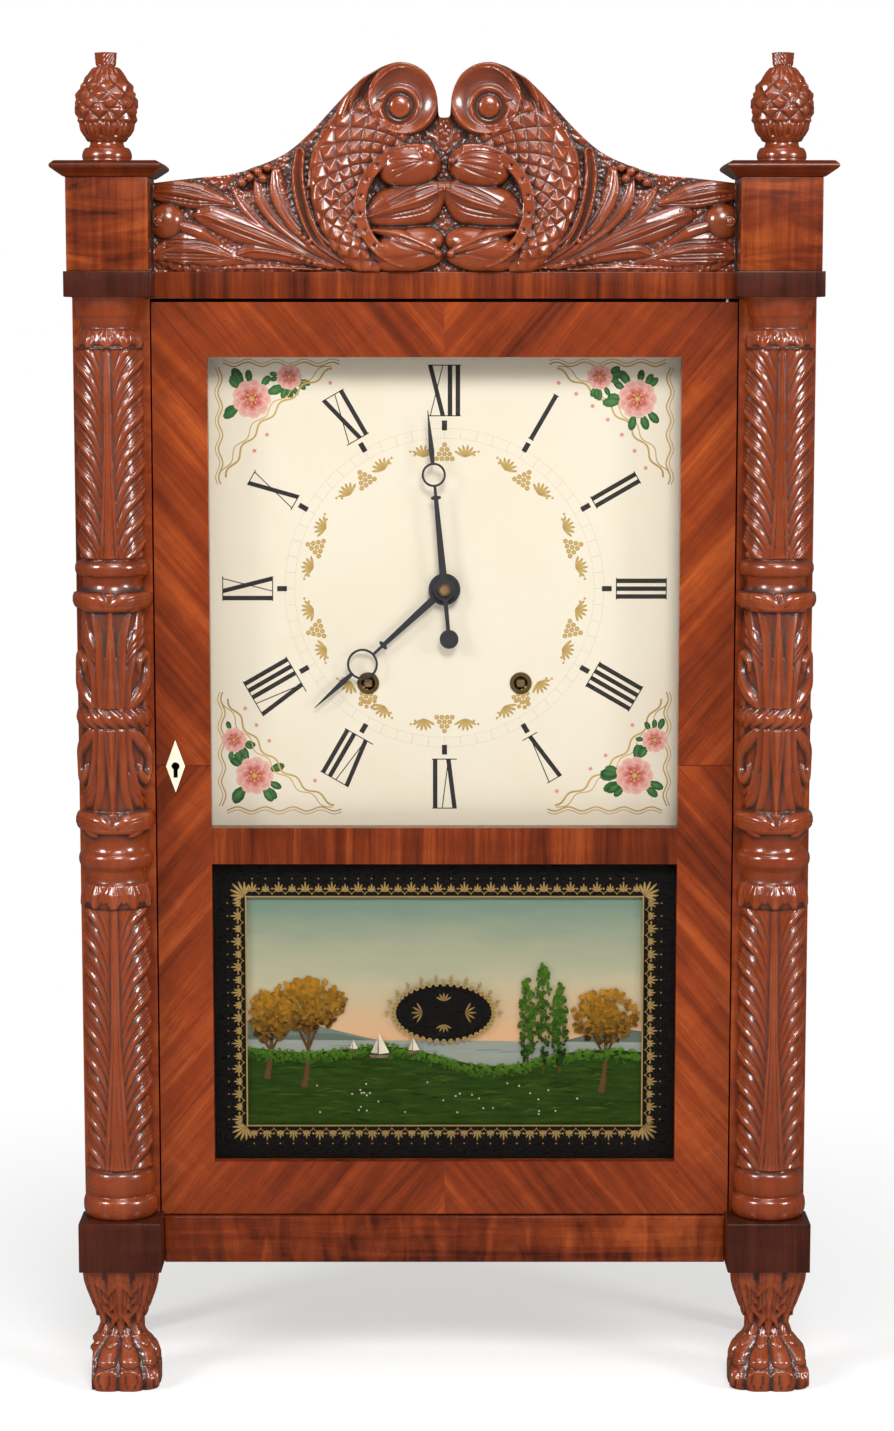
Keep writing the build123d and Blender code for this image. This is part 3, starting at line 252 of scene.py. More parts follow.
def build_paint_age():
    """Fine cracks, brush marks and yellowed patches of old paint."""
    takes = (("Vector", "V"), ("Color", "C"), ("Stain", "C"), ("Crack", "F"))
    gives = (("Color", "C"), ("Roughness", "F"), ("Height", "F"))
    tree, start, ends = new_group("paint_age", takes, gives)
    cloud = noise(tree, start["Vector"], 14.0, 4.0, 0.6)
    bent = noise(tree, start["Vector"], 90.0, 2.0, 0.5)
    warped = node(tree, "ShaderNodeVectorMath", {0: start["Vector"], 1: bent}, operation="ADD").outputs[0]
    cells = node(
        tree, "ShaderNodeTexVoronoi", {"Vector": warped, "Scale": 46.0}, feature="DISTANCE_TO_EDGE",
    ).outputs[0]
    crack = times(tree, rescale(tree, cells, 0.0, 0.012, 1.0, 0.0), start["Crack"])
    crack = times(tree, crack, rescale(tree, cloud, 0.45, 0.65))
    specks = rescale(tree, noise(tree, start["Vector"], 700.0, 2.0, 0.5), 0.7, 0.78)
    colour = mix_colours(tree, rescale(tree, cloud, 0.35, 0.75, 0.0, 0.5), start["Color"], start["Stain"])
    colour = mix_colours(tree, crack, colour, start["Stain"], "MULTIPLY")
    colour = mix_colours(tree, times(tree, specks, 0.25), colour, start["Stain"], "MULTIPLY")
    give(tree, ends, "Color", colour)
    give(tree, ends, "Roughness", rescale(tree, cloud, 0.3, 0.7, 0.3, 0.48))
    give(tree, ends, "Height", reckon(tree, "SUBTRACT", times(tree, bent, 0.4), crack))


def new_material(name, **shader_values):
    """A material with a Principled shader whose plain sockets are set."""
    material = bpy.data.materials.new(name)
    material.use_nodes = True
    tree = material.node_tree
    shader = tree.nodes["Principled BSDF"]
    for key, value in shader_values.items():
        shader.inputs[key.replace("_", " ").title().replace("Ior", "IOR")].default_value = value
    return material, tree, shader


def attach(tree, shader, outputs, bump_metres, base_rough=None):
    """Connect a shared effect's colour, roughness and height to a shader."""
    tree.links.new(outputs["Color"], shader.inputs["Base Color"])
    rough = outputs["Roughness"]
    if base_rough is not None:
        rough = reckon(tree, "ADD", rough, base_rough)
    tree.links.new(rough, shader.inputs["Roughness"])
    bump = node(
        tree, "ShaderNodeBump", {"Height": outputs["Height"], "Distance": bump_metres, "Strength": 0.6},
    )
    tree.links.new(bump.outputs[0], shader.inputs["Normal"])


def wood_material(
    name, colours, turn=(0.0, 0.0, 0.0), ripple=0.4, pores=0.5, rough=0.26, coat=0.15, quarters=None,
):
    """Polished or plain wood. The turn brings the grain's direction onto local X."""
    light, mid, dark = colours
    material, tree, shader = new_material(
        name, coat_weight=coat, coat_roughness=0.16, specular_ior_level=0.22,
    )
    vector = object_vector(tree)
    if quarters:
        joint, tilt = quarters
        placed = use_group(tree, "door_quarters", {"Vector": vector, "Joint Height": joint, "Tilt": tilt})
        vector = placed["Vector"]
    else:
        vector = stretched(tree, vector, (1.0, 1.0, 1.0), turn)
    inputs = {
        "Vector": vector, "Light": rgba(light), "Mid": rgba(mid), "Dark": rgba(dark), "Ripple": ripple,
        "Pores": pores,
    }
    outputs = use_group(tree, "wood_figure", inputs)
    attach(tree, shader, outputs, 0.00012, rough)
    if quarters:
        seamed = mix_colours(tree, times(tree, placed["Seam"], 0.7), outputs["Color"], rgba(dark))
        tree.links.new(seamed, shader.inputs["Base Color"])
    return material


def carved_material(name, colours, turn, raw=False):
    """Stained carving: grain below, stain and painted shade in hollows, rubbed wear and painted highlight on
    ridges.
    """
    pale, mid, dark = colours
    material, tree, shader = new_material(name, coat_weight=0.0 if raw else 0.6, coat_roughness=0.1)
    vector = object_vector(tree)
    grain = use_group(tree, "wood_figure", {
        "Vector": stretched(tree, vector, (1.0, 1.0, 1.0), turn), "Light": rgba(pale), "Mid": rgba(mid),
        "Dark": rgba(dark), "Ripple": 0.15, "Pores": 0.45,
    })
    base = mix_colours(tree, 0.42, rgba(mid), grain["Color"])
    # The hollow value lays stain and painted shade in the recesses; the ridge value lays rubbed wear and a
    # painted highlight on the ridges.
    hollow = node(tree, "ShaderNodeAttribute", attribute_name="hollow").outputs["Fac"]
    ridge = node(tree, "ShaderNodeAttribute", attribute_name="ridge").outputs["Fac"]
    finish = use_group(
        tree, "carved_stain_and_shade",
        {
            "Color": base, "Dark": rgba(dark), "Pale": rgba(pale), "Vector": vector, "Hollow": hollow,
            "Ridge": ridge,
        },
    )
    attach(tree, shader, finish, 0.0001, 0.3 if raw else None)
    height = reckon(tree, "ADD", finish["Height"], times(tree, grain["Height"], 0.8))
    bump = node(tree, "ShaderNodeBump", {"Height": height, "Distance": 0.00016, "Strength": 0.6})
    tree.links.new(bump.outputs[0], shader.inputs["Normal"])
    return material


def metal_material(name, base, tarnish, amount, metallic=1.0):
    """Old metal with patches and scratches."""
    material, tree, shader = new_material(name, metallic=metallic)
    outputs = use_group(tree, "metal_age", {
        "Vector": object_vector(tree), "Base": rgba(base), "Tarnish": rgba(tarnish), "Amount": amount,
    })
    attach(tree, shader, outputs, 0.00008)
    return material


def paint_material(name, dark, light, rough=0.4, streaks=0.35, coat=0.0, scale=(260.0, 260.0, 900.0)):
    """Brushed paint whose tone follows the piece's tone attribute."""
    material, tree, shader = new_material(
        name, coat_weight=coat, coat_roughness=0.05, specular_ior_level=0.12,
    )
    tone = node(tree, "ShaderNodeAttribute", attribute_name="tone").outputs["Fac"]
    marks = noise(tree, stretched(tree, object_vector(tree), scale), 1.0, 4.0, 0.6)
    swing = times(tree, reckon(tree, "SUBTRACT", marks, 0.5), streaks)
    share = reckon(tree, "ADD", tone, swing, clamp=True)
    tree.links.new(mix_colours(tree, share, rgba(dark), rgba(light)), shader.inputs["Base Color"])
    tree.links.new(rescale(tree, marks, 0.3, 0.7, rough - 0.06, rough + 0.08), shader.inputs["Roughness"])
    bump = node(tree, "ShaderNodeBump", {"Height": marks, "Distance": 0.00005, "Strength": 0.4})
    tree.links.new(bump.outputs[0], shader.inputs["Normal"])
    return material


def glass_material(name):
    """Old window glass: clear face on, brighter at a slant, faintly wavy."""
    material, tree, shader = new_material(name, base_color=(0.02, 0.022, 0.02, 1.0), roughness=0.03, ior=1.5)
    facing = node(tree, "ShaderNodeFresnel", {"IOR": 1.5}).outputs[0]
    wave = noise(tree, object_vector(tree), 9.0, 2.0, 0.5)
    bump = node(tree, "ShaderNodeBump", {"Height": wave, "Distance": 0.0006, "Strength": 0.3})
    tree.links.new(bump.outputs[0], shader.inputs["Normal"])
    tree.links.new(rescale(tree, facing, 0.03, 0.6, 0.02, 0.6), shader.inputs["Alpha"])
    return material


# Mesh helpers


def finish_mesh(name, mesh, material, body, replaces=(), smooth=True):
    """Link a mesh as a piece of the clock."""
    mesh.update()
    if smooth:
        mesh.shade_smooth()
    piece = bpy.data.objects.new(name, mesh)
    bpy.context.scene.collection.objects.link(piece)
    mesh.materials.append(material)
    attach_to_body(piece, body)
    if replaces:
        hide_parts(*replaces)
    return piece


def mesh_from_arrays(name, points, quads, values=None):
    """A mesh from points in millimetres and quads, with named values at its points."""
    mesh = bpy.data.meshes.new(name)
    mesh.vertices.add(len(points))
    mesh.vertices.foreach_set("co", (np.asarray(points, float) * MM).ravel())
    quads = np.asarray(quads, np.int32)
    mesh.loops.add(quads.size)
    mesh.loops.foreach_set("vertex_index", quads.ravel())
    mesh.polygons.add(len(quads))
    mesh.polygons.foreach_set("loop_start", np.arange(0, quads.size, 4, dtype=np.int32))
    for key, value in (values or {}).items():
        attribute = mesh.attributes.new(key, "FLOAT", "POINT")
        attribute.data.foreach_set("value", np.asarray(value, np.float32).ravel())
    mesh.update(calc_edges=True)
    mesh.validate()
    return mesh


def grid_quads(rows, columns, wrap=False, start=0, flip=False):
    """Quads over a grid of points stored row by row; a wrapped grid joins its last row to its first."""
    count = rows if wrap else rows - 1
    first = np.arange(count)[:, None] * columns + np.arange(columns - 1)[None, :]
    following = ((np.arange(count) + 1) % rows)[:, None] * columns + np.arange(columns - 1)[None, :]
    quads = np.stack([first, following, following + 1, first + 1], axis=-1).reshape(-1, 4) + start
    return quads[:, ::-1] if flip else quads


def closed_mesh(mesh, caps):
    """Close a mesh with faces over its own points and turn every face outwards."""
    work = bmesh.new()
    work.from_mesh(mesh)
    work.verts.ensure_lookup_table()
    for corners in caps:
        work.faces.new([work.verts[index] for index in corners])
    bmesh.ops.recalc_face_normals(work, faces=work.faces)
    work.to_mesh(mesh)
    work.free()
    return mesh


def smooth_path(points, steps=9):
    """A flowing line through points."""
    points = np.asarray(points, float)
    padded = np.vstack([2 * points[0] - points[1], points, 2 * points[-1] - points[-2]])
    line = []
    for index in range(1, len(padded) - 2):
        before, here, there, after = padded[index - 1:index + 3]
        for share in np.linspace(0, 1, steps, endpoint=False):
            square = share * share
            cube = square * share
            line.append(0.5 * (
                2 * here + (there - before) * share + (2 * before - 5 * here + 4 * there - after) * square
                + (3 * here - before - 3 * there + after) * cube
            ))
    line.append(points[-1])
    return np.array(line)


def unit(values):
    """Values held between 0 and 1."""
    return np.clip(values, 0, 1)


def spread(values, share):
    """Values given at even steps, read at a share of the way."""
    values = np.atleast_1d(np.asarray(values, float))
    if len(values) == 1:
        return np.full(np.shape(share), values[0])
    return np.interp(share, np.linspace(0, 1, len(values)), values)


def blurred(field, reach):
    """A field averaged over a square, twice."""
    for _ in range(2):
        for axis in (0, 1):
            pad = [(reach + 1, reach) if axis == index else (0, 0) for index in (0, 1)]
            total = np.cumsum(np.pad(field, pad, mode="edge"), axis=axis)
            width = 2 * reach + 1
            if axis == 0:
                field = (total[width:] - total[:-width]) / width
            else:
                field = (total[:, width:] - total[:, :-width]) / width
    return field


def round_cut(ratio, side):
    """A plump rounded lobe."""
    return np.sqrt(unit(1 - ratio ** 2))


def gouge_cut(ratio, side):
    """A hollowed leaf with raised rims."""
    rim = 0.5 + 0.5 * unit(ratio / 0.72) ** 2
    return rim * unit((1 - ratio) / 0.28) ** 0.6


def leaf_cut(ratio, side):
    """A leaf with a fine rib along its middle."""
    return 0.75 * np.sqrt(unit(1 - ratio ** 3)) + 0.25 * np.exp(-(ratio / 0.16) ** 2)


def slant_cut(ratio, side):
    """A lobe that is proud along one edge and slopes to the other."""
    return np.sqrt(unit(1 - ratio ** 4)) * (0.62 + 0.38 * side * ratio)


def back_slant_cut(ratio, side):
    """The mirror image of the slanted lobe."""
    return slant_cut(ratio, -side)


def flat_cut(ratio, side):
    """A flat band with rounded edges."""
    return unit((1 - ratio) / 0.25) ** 0.5


class Carving:
    """Heights in millimetres over a sheet, raised and cut by gouge strokes."""

    def __init__(self, across, up, shared=None):
        self.across, self.up = across, up
        self.u, self.v, self.height = shared or self.fresh()

    def fresh(self):
        u, v = np.meshgrid(self.across, self.up, indexing="ij")
        return u, v, np.zeros(u.shape)

    def part(self, low, high):
        """The same sheet between two levels; strokes in it stop at those levels."""
        span = slice(*np.searchsorted(self.up, (low, high)))
        return Carving(self.across, self.up[span], (self.u[:, span], self.v[:, span], self.height[:, span]))

    def follow(self, points, width):
        """Each nearby point's distance from a stroke's line in widths, its share along it, and its side."""
        path = smooth_path(points)
        widths = spread(width, np.linspace(0, 1, len(path)))
        reach = widths.max() + 0.5
        rows = slice(*np.searchsorted(self.across, (path[:, 0].min() - reach, path[:, 0].max() + reach)))
        columns = slice(*np.searchsorted(self.up, (path[:, 1].min() - reach, path[:, 1].max() + reach)))
        u, v = self.u[rows, columns], self.v[rows, columns]
        nearest = np.full(u.shape, 9.0)
        along = np.zeros(u.shape)
        side = np.zeros(u.shape)
        for index in range(len(path) - 1):
            step = path[index + 1] - path[index]
            du, dv = u - path[index][0], v - path[index][1]
            share = unit((du * step[0] + dv * step[1]) / (step @ step + 1e-9))
            off_u, off_v = du - share * step[0], dv - share * step[1]
            local = widths[index] + share * (widths[index + 1] - widths[index])
            ratio = np.sqrt(off_u ** 2 + off_v ** 2) / np.maximum(local, 0.05)
            closer = ratio < nearest
            nearest = np.where(closer, ratio, nearest)
            along = np.where(closer, (index + share) / (len(path) - 1), along)
            side = np.where(closer, np.sign(step[0] * off_v - step[1] * off_u), side)
        return (rows, columns), nearest, along, side

    def raised(self, points, width, height, cut=round_cut, base=0.0):
        """Raise a lobe along a line; where lobes meet, the higher one stands."""
        window, ratio, along, side = self.follow(points, width)
        lobe = spread(base, along) + spread(height, along) * cut(np.minimum(ratio, 1.0), side)
        here = self.height[window]
        self.height[window] = np.where(ratio < 1, np.maximum(here, lobe), here)

    def grooved(self, points, width, depth):
        """Cut a groove along a line."""
        window, ratio, along, _ = self.follow(points, width)
        self.height[window] -= np.where(ratio < 1, spread(depth, along) * (1 - np.minimum(ratio, 1) ** 2), 0)

    def domed(self, centre, radii, height, turn=0.0, base=0.0, power=0.5):
        """Raise an oval dome."""
        du, dv = self.u - centre[0], self.v - centre[1]
        along = du * cos(turn) + dv * sin(turn)
        over = dv * cos(turn) - du * sin(turn)
        ratio = (along / radii[0]) ** 2 + (over / radii[1]) ** 2
        dome = base + height * unit(1 - ratio) ** power
        np.copyto(self.height, np.where(ratio < 1, np.maximum(self.height, dome), self.height))

    def hollows(self, reach):
        """How deep and how proud each point lies among its neighbours, from 0 to 1."""
        # These shares later lay stain and painted shade in the hollows, and wear and a painted highlight on
        # the ridges.
        rise = self.height - blurred(self.height, reach)
        return unit(-rise / 1.1), unit(rise / 1.1)


def moulding_radius(rows, level):
    """Radius of a turning at a level, from rows of (low, high, radius, radius, bulge)."""
    radius = np.zeros(np.shape(level))
    for low, high, low_radius, high_radius, bulge in rows:
        share = unit((level - low) / (high - low))
        arch = 4 * share * (1 - share)
        swell = bulge * (np.sqrt(arch) if bulge > 0 else arch)
        here = (level >= low - 1e-6) & (level <= high + 1e-6)
        radius = np.where(here, low_radius + share * (high_radius - low_radius) + swell, radius)
    return radius


# Columns

COLUMN_TURNING = (
    (118.5, 133.0, 23.2, 23.4, 2.6),
    (133.0, 134.4, 22.2, 22.2, 0.0),
    (134.4, 151.6, 21.8, 22.0, 2.6),
    (151.6, 153.2, 20.6, 20.4, 0.0),
    (153.2, 336.2, 20.2, 20.2, 0.5),
    (336.2, 337.4, 22.4, 22.6, 0.0),
    (337.4, 354.4, 23.0, 21.4, 0.8),
    (354.4, 363.6, 21.0, 21.2, -0.8),
    (363.6, 365.2, 22.6, 22.8, 0.0),
    (365.2, 375.4, 23.2, 23.2, 2.5),
    (375.4, 387.0, 22.8, 22.6, -1.5),
    (387.0, 404.0, 22.2, 22.0, 1.2),
    (404.0, 461.0, 20.0, 22.4, 0.2),
    (461.0, 476.0, 22.6, 22.6, 0.9),
    (476.0, 541.0, 22.2, 20.4, 0.2),
    (541.0, 554.0, 22.0, 22.4, 1.2),
    (554.0, 565.0, 22.4, 21.2, -1.5),
    (565.0, 575.4, 22.4, 22.4, 3.1),
    (575.4, 577.0, 21.2, 20.8, 0.0),
    (577.0, 717.0, 20.4, 20.6, 0.5),
    (717.0, 718.6, 22.8, 23.0, 0.0),
    (718.6, 731.0, 21.4, 19.4, 0.8),
    (731.0, 739.4, 19.3, 21.0, -0.5),
    (739.4, 741.0, 21.8, 21.8, 0.0),
    (741.0, 752.5, 21.9, 25.0, -0.9),
)
UNROLLED = 21.0
COLUMN_REACH = 27.4
COLUMN_FOOT, COLUMN_HEAD = 118.5, 752.5
LOWER_SHAFT, UPPER_SHAFT = (153.2, 336.2), (577.0, 717.0)
LOWER_COLLAR, UPPER_COLLAR = (337.4, 354.4), (718.6, 731.0)
LOWER_ROLL, UPPER_ROLL = (387.0, 404.0), (541.0, 554.0)
ROPE = (461.0, 476.0)


def carve_fronds(part, low, high, pitch, stem_top, stem_foot):
    """A stem with leaf lobes that rise outwards on both sides in a V."""
    for side in (-1, 1):
        level = low - 52.0
        cut = slant_cut if side < 0 else back_slant_cut
        while level < high + 6.0:
            path = (
                (side * 2.0, level - 14), (side * 4.5, level + 3), (side * 9.5, level + 17),
                (side * 18, level + 27), (side * 28, level + 32.5), (side * 38, level + 33),
            )
            part.raised(path, (1.2, 3.2, 5.6, 7.4, 7.0, 5.0), (0.4, 1.8, 3.4, 4.2, 4.0, 3.0), cut)
            for offset in (-2.8, -0.4, 2.2):
                vein = [(x, z - offset * (0.4 + 0.6 * min(abs(x) / 20, 1))) for x, z in path[1:]]
                part.grooved(vein, (0.5, 0.8, 0.9, 0.7), (0.3, 0.9, 1.1, 0.7))
            level += pitch
    part.raised(
        ((0, high + 2), (0, (low + high) / 2), (0, low - 2)), (stem_top, stem_top + 1.2, stem_foot), 2.5,
        flat_cut,
    )
    for offset in (-1, 1):
        line = (
            (offset * stem_top * 0.5, high), (offset * stem_top * 0.75, (low + high) / 2),
            (offset * stem_foot * 0.5, low),
        )
        part.grooved(line, 0.6, 0.9)
    part.grooved(((0, high), (0, low)), 0.45, 0.7)
    for offset in (-3, -2, -1, 1, 2, 3):
        line = ((0, low + 46), (offset * stem_foot * 0.13, low + 20), (offset * stem_foot * 0.3, low))
        part.grooved(line, (0.2, 0.5, 0.6), (0.0, 0.6, 0.8))


def carve_leaf_roll(part, low, high):
    """Two long leaf tips that roll over sideways and meet in front."""
    middle = (low + high) / 2
    for side in (-1, 1):
        path = (
            (side * 40, middle + 1.5), (side * 22, middle + 2.5), (side * 9, middle + 0.5),
            (side * 1.5, middle - 3.5),
        )
        part.raised(path, (6.8, 7.6, 7.0, 3.0), (3.8, 4.8, 4.4, 2.2), round_cut)
        for lift in (-3.2, -0.6, 2.2):
            line = (
                (side * 34, middle + lift + 2.5), (side * 20, middle + lift + 2.2),
                (side * 8, middle + lift * 0.6), (side * 3, middle - 2.5),
            )
            part.grooved(line, (0.5, 0.8, 0.6), (0.4, 0.7, 0.4))
        part.raised(((side * 17, middle - 3), (side * 12, middle - 7.5)), (4.2, 2.2), (3.6, 2.6), leaf_cut)
    part.raised(((0, high + 1), (0, middle - 2)), (3.4, 1.0), (2.6, 1.6), leaf_cut)


def carve_leaf_tips(part, low, high):
    """A ring of short leaves whose pointed tips curl outwards below."""
    span = high - low
    for index in range(-3, 4):
        at = index * 12.6
        part.raised(((at + 6.3, high), (at + 6.3, low + span * 0.3)), (5.0, 1.6), (1.0, 1.4), round_cut)
        path = ((at, high + 1), (at, low + span * 0.55), (at, low + 1.5))
        part.raised(path, (3.2, 6.4, 2.2), (0.8, 2.6, 2.8), leaf_cut)
        for side in (-1, 1):
            line = ((at + side * 1.2, high), (at + side * 3.2, low + span * 0.5), (at + side * 1.4, low + 2))
            part.grooved(line, (0.4, 0.7, 0.4), (0.4, 0.8, 0.4))


def carve_acanthus(part, root, tip, stem_wide):
    """Half of the bound acanthus: flutes from the rope, a curled leaf at each side, lobes at the tip."""
    way = 1 if tip > root else -1

    def at(across, rise):
        return (across, root + way * rise)

    length = abs(tip - root)
    for side in (-1, 1):
        cut = slant_cut if side * way < 0 else back_slant_cut
        part.raised(
            (at(side * 5, -1), at(side * 6.5, 22), at(side * 8, length * 0.7), at(side * 13, length)),
            (3.6, 3.4, 3.0, 2.6), (2.4, 3.2, 2.6, 1.6), cut,
        )
        part.raised(
            (at(side * 10, -1), at(side * 11, 18), at(side * 15, 34), at(side * 24, length)),
            (3.2, 3.0, 3.0, 2.6), (2.0, 2.6, 2.4, 1.6), cut,
        )
        part.raised(
            (at(side * 31, -1), at(side * 33, 24), at(side * 36, length)), (6.5, 5.0, 5.0), (2.0, 1.4, 1.2),
            round_cut,
        )
        hook = (
            at(side * 13, 1), at(side * 20, 8), at(side * 30, 17), at(side * 33, 28), at(side * 27, 35.5),
            at(side * 20.5, 31), at(side * 20, 25),
        )
        part.raised(
            hook, (3.2, 5.0, 6.0, 5.0, 4.0, 2.8, 1.4), (2.2, 3.4, 4.2, 4.4, 4.2, 3.4, 2.4), round_cut,
        )
        for offset in (-2.6, 0.2, 2.6):
            line = (
                at(side * (17 + offset), 6), at(side * (27 + offset), 16 - offset),
                at(side * (32 + offset * 0.6), 27),
            )
            part.grooved(line, (0.5, 0.7, 0.5), (0.3, 0.8, 0.5))
        for lift in (0, 9, 18):
            part.raised(
                (
                    at(side * 9, 30 + lift * 0.4), at(side * 17, 40 + lift * 0.5),
                    at(side * 30, 46 + lift * 0.8),
                ),
                (1.4, 2.8, 2.0), (1.4, 2.4, 1.4), cut,
            )
    path = (at(0, -2), at(0, length * 0.45), at(0, length + 1))
    part.raised(path, (stem_wide, stem_wide * 0.62, 1.6), (3.4, 3.4, 2.4), leaf_cut)
    for side in (-1, 1):
        part.grooved(
            (at(side * stem_wide * 0.45, 0), at(side * stem_wide * 0.3, 20), at(0, length * 0.8)),
            (0.6, 0.6, 0.4), (0.9, 0.8, 0.2),
        )


def carve_rope(part, low, high):
    """Twisted strands round the column."""
    index = -44.0
    while index < 44:
        path = ((index - 6, low + 0.8), (index, (low + high) / 2), (index + 6, high - 0.8))
        part.raised(path, (1.6, 3.6, 1.6), (1.2, 2.7, 1.2), round_cut)
        index += 6.6


def carve_column():
    """Carving of the left column; the right one is its mirror image."""
    across = np.linspace(-radians(104) * UNROLLED, radians(104) * UNROLLED, 116)
    levels = np.arange(COLUMN_FOOT, COLUMN_HEAD + 0.01, 0.8)
    carving = Carving(across, np.append(levels, COLUMN_HEAD))
    carve_fronds(carving.part(*LOWER_SHAFT), *LOWER_SHAFT, 21.0, 2.2, 10.5)
    carve_leaf_tips(carving.part(*LOWER_COLLAR), *LOWER_COLLAR)
    carve_leaf_roll(carving.part(*LOWER_ROLL), *LOWER_ROLL)
    carve_acanthus(carving.part(LOWER_ROLL[1], ROPE[0] + 0.5), ROPE[0], LOWER_ROLL[1], 5.6)
    carve_rope(carving.part(*ROPE), *ROPE)
    carve_acanthus(carving.part(ROPE[1] - 0.5, UPPER_ROLL[0]), ROPE[1], UPPER_ROLL[0], 6.4)
    carve_leaf_roll(carving.part(*UPPER_ROLL), UPPER_ROLL[0] - 1.0, UPPER_ROLL[1] + 1.0)
    carve_fronds(carving.part(*UPPER_SHAFT), *UPPER_SHAFT, 17.5, 1.6, 7.0)
    carve_leaf_tips(carving.part(*UPPER_COLLAR), *UPPER_COLLAR)
    return carving


def column_mesh(name, side, carving):
    """The carved half round of one column."""
    turn = carving.u / UNROLLED
    radius = np.minimum(moulding_radius(COLUMN_TURNING, carving.v) + carving.height, COLUMN_REACH)
    x = side * (COLUMN_X + radius * np.sin(turn))
    y = np.minimum(COLUMN_Y - radius * np.cos(turn), FRONT + 0.4)
    points = np.stack([x, y, carving.v], axis=-1).reshape(-1, 3)
    hollow, ridge = carving.hollows(4)
    quads = grid_quads(*carving.u.shape, flip=side < 0)
    return mesh_from_arrays(name, points, quads, {"hollow": hollow, "ridge": ridge})


# Crest

CREST_TOP = (
    (195.9, 828.5), (184.6, 829.8), (166.0, 832.0), (144.7, 834.1), (124.8, 840.0), (105.5, 849.0),
    (89.0, 863.0), (73.0, 880.0), (57.5, 895.3), (50.9, 899.8), (40.0, 905.6), (29.8, 908.0), (20.0, 906.0),
    (12.0, 900.6), (7.4, 893.4), (5.0, 886.0), (4.3, 879.0), (4.0, 874.0), (2.6, 872.2), (0.0, 871.8),
)


def crest_top_line():
    """Sample places across the crest and the height of its top edge there."""
    outline = smooth_path(CREST_TOP, 14)[::-1]
    half_x, half_z = np.maximum.accumulate(outline[:, 0]), outline[:, 1]
    even = np.concatenate([np.linspace(0, 6, 15), np.linspace(6.6, 195.9, 290)])
    tops = np.interp(even, half_x, half_z)
    return np.concatenate([-even[::-1], even[1:]]), np.concatenate([tops[::-1], tops[1:]])


VOLUTE_EYE, VOLUTE_RIM, RIM_RADIUS = (29.8, 878.6), (27.6, 884.0), 24.8


def carve_volute(carving, side):
    """A scroll with a raised ring and button, and two lapped leaf tails."""
    x, z = side * VOLUTE_EYE[0], VOLUTE_EYE[1]
    distance = np.hypot(carving.u - x, carving.v - z)
    outer = np.hypot(carving.u - side * VOLUTE_RIM[0], carving.v - VOLUTE_RIM[1])
    dish = 8.0 + 6.0 * unit((outer - 12.0) / 12.0) ** 1.6
    rim = dish * unit((RIM_RADIUS - outer) / 1.6) ** 0.5
    carving.height[:] = np.maximum(carving.height, np.where(outer < RIM_RADIUS, rim, 0))
    carving.domed((x, z), (15.2, 15.2), 12.0, power=0.16)
    channel = 7.6 + unit((distance - 8.6) / 4.0) ** 2 * 4.0
    carving.height[:] = np.where(distance < 12.8, np.minimum(carving.height, channel), carving.height)
    carving.domed((x, z), (7.4, 7.4), 3.6, base=8.4, power=0.3)
    tail = [
        (side * a, b) for a, b in ((20, 905), (34, 905.5), (46, 899), (54.5, 889), (58.5, 878), (59.5, 870))
    ]
    carving.raised(tail, (2.0, 3.4, 5.6, 7.2, 6.4, 2.4), (13.5, 14.0, 14.0, 13.0, 11.5, 9.5), gouge_cut)
    second = [(side * a, b) for a, b in ((52, 898), (62, 886), (68, 872), (69.5, 860))]
    carving.raised(second, (2.2, 5.4, 6.0, 2.8), (9.0, 11.0, 11.0, 8.5), leaf_cut)
    for offset in (-2.4, 2.4):
        line = [
            (side * (a + offset * 0.6), b + offset * 0.4) for a, b in ((44, 898), (53, 887), (57.5, 875))
        ]
        carving.grooved(line, 0.6, 0.9)


def scale_pattern(first, second):
    """Small pyramids on a diamond lattice, from 0 in the valleys to 1 at each point."""
    a = first + second
    b = first - second
    cell_a, cell_b = a - np.floor(a), b - np.floor(b)
    return np.minimum(
        np.minimum(cell_a / 0.3, (1 - cell_a) / 0.7), np.minimum(cell_b / 0.3, (1 - cell_b) / 0.7),
    )


def carve_horn(carving, side):
    """A scaly horn of plenty that curves down to a leaf spray, with a starred rim round its mouth."""
    hub_x, hub_z = side * 19.0, 812.5
    du, dv = side * (carving.u - hub_x), carving.v - hub_z
    distance = np.hypot(du, dv)
    angle = np.arctan2(dv, du)
    lean = np.interp(angle, (-0.9, -0.2, 0.5, 1.0, 1.45, 1.9), (58.0, 68.0, 79.0, 84.0, 80.0, 70.0))
    body = unit((distance - 41.0) / (lean - 41.0))
    inside = (distance > 41.0) & (distance < lean) & (angle > -1.05) & (angle < 1.62)
    crown = 4.5 + 7.0 * np.sqrt(unit(1 - (2 * body - 0.9) ** 2))
    fade = unit((angle + 1.05) / 0.5) * unit((1.62 - angle) / 0.25)
    lattice = scale_pattern(angle * 4.6, np.log(np.maximum(distance, 1.0)) * 5.2)
    horn = (crown + 2.7 * unit(lattice)) * (0.4 + 0.6 * fade)
    carving.height[:] = np.where(inside, np.maximum(carving.height, horn), carving.height)
    edge = np.minimum(distance - 33.6, 42.0 - distance)
    band = (edge > 0) & (angle > -1.35) & (angle < 1.75)
    lip = (11.2 + unit(1 - edge / 1.1)) * unit(edge / 0.5) ** 0.4
    carving.height[:] = np.where(band, np.maximum(carving.height, lip), carving.height)
    for index in range(9):
        turn = -1.05 + index * 0.31
        star_x, star_z = hub_x + side * 37.8 * cos(turn), hub_z + 37.8 * sin(turn)
        for ray in range(3):
            spin = turn + ray * pi / 3
            reach = (1.7 * cos(spin), 1.7 * sin(spin))
            ends = ((star_x - reach[0], star_z - reach[1]), (star_x + reach[0], star_z + reach[1]))
            carving.grooved(ends, 0.42, 1.3)


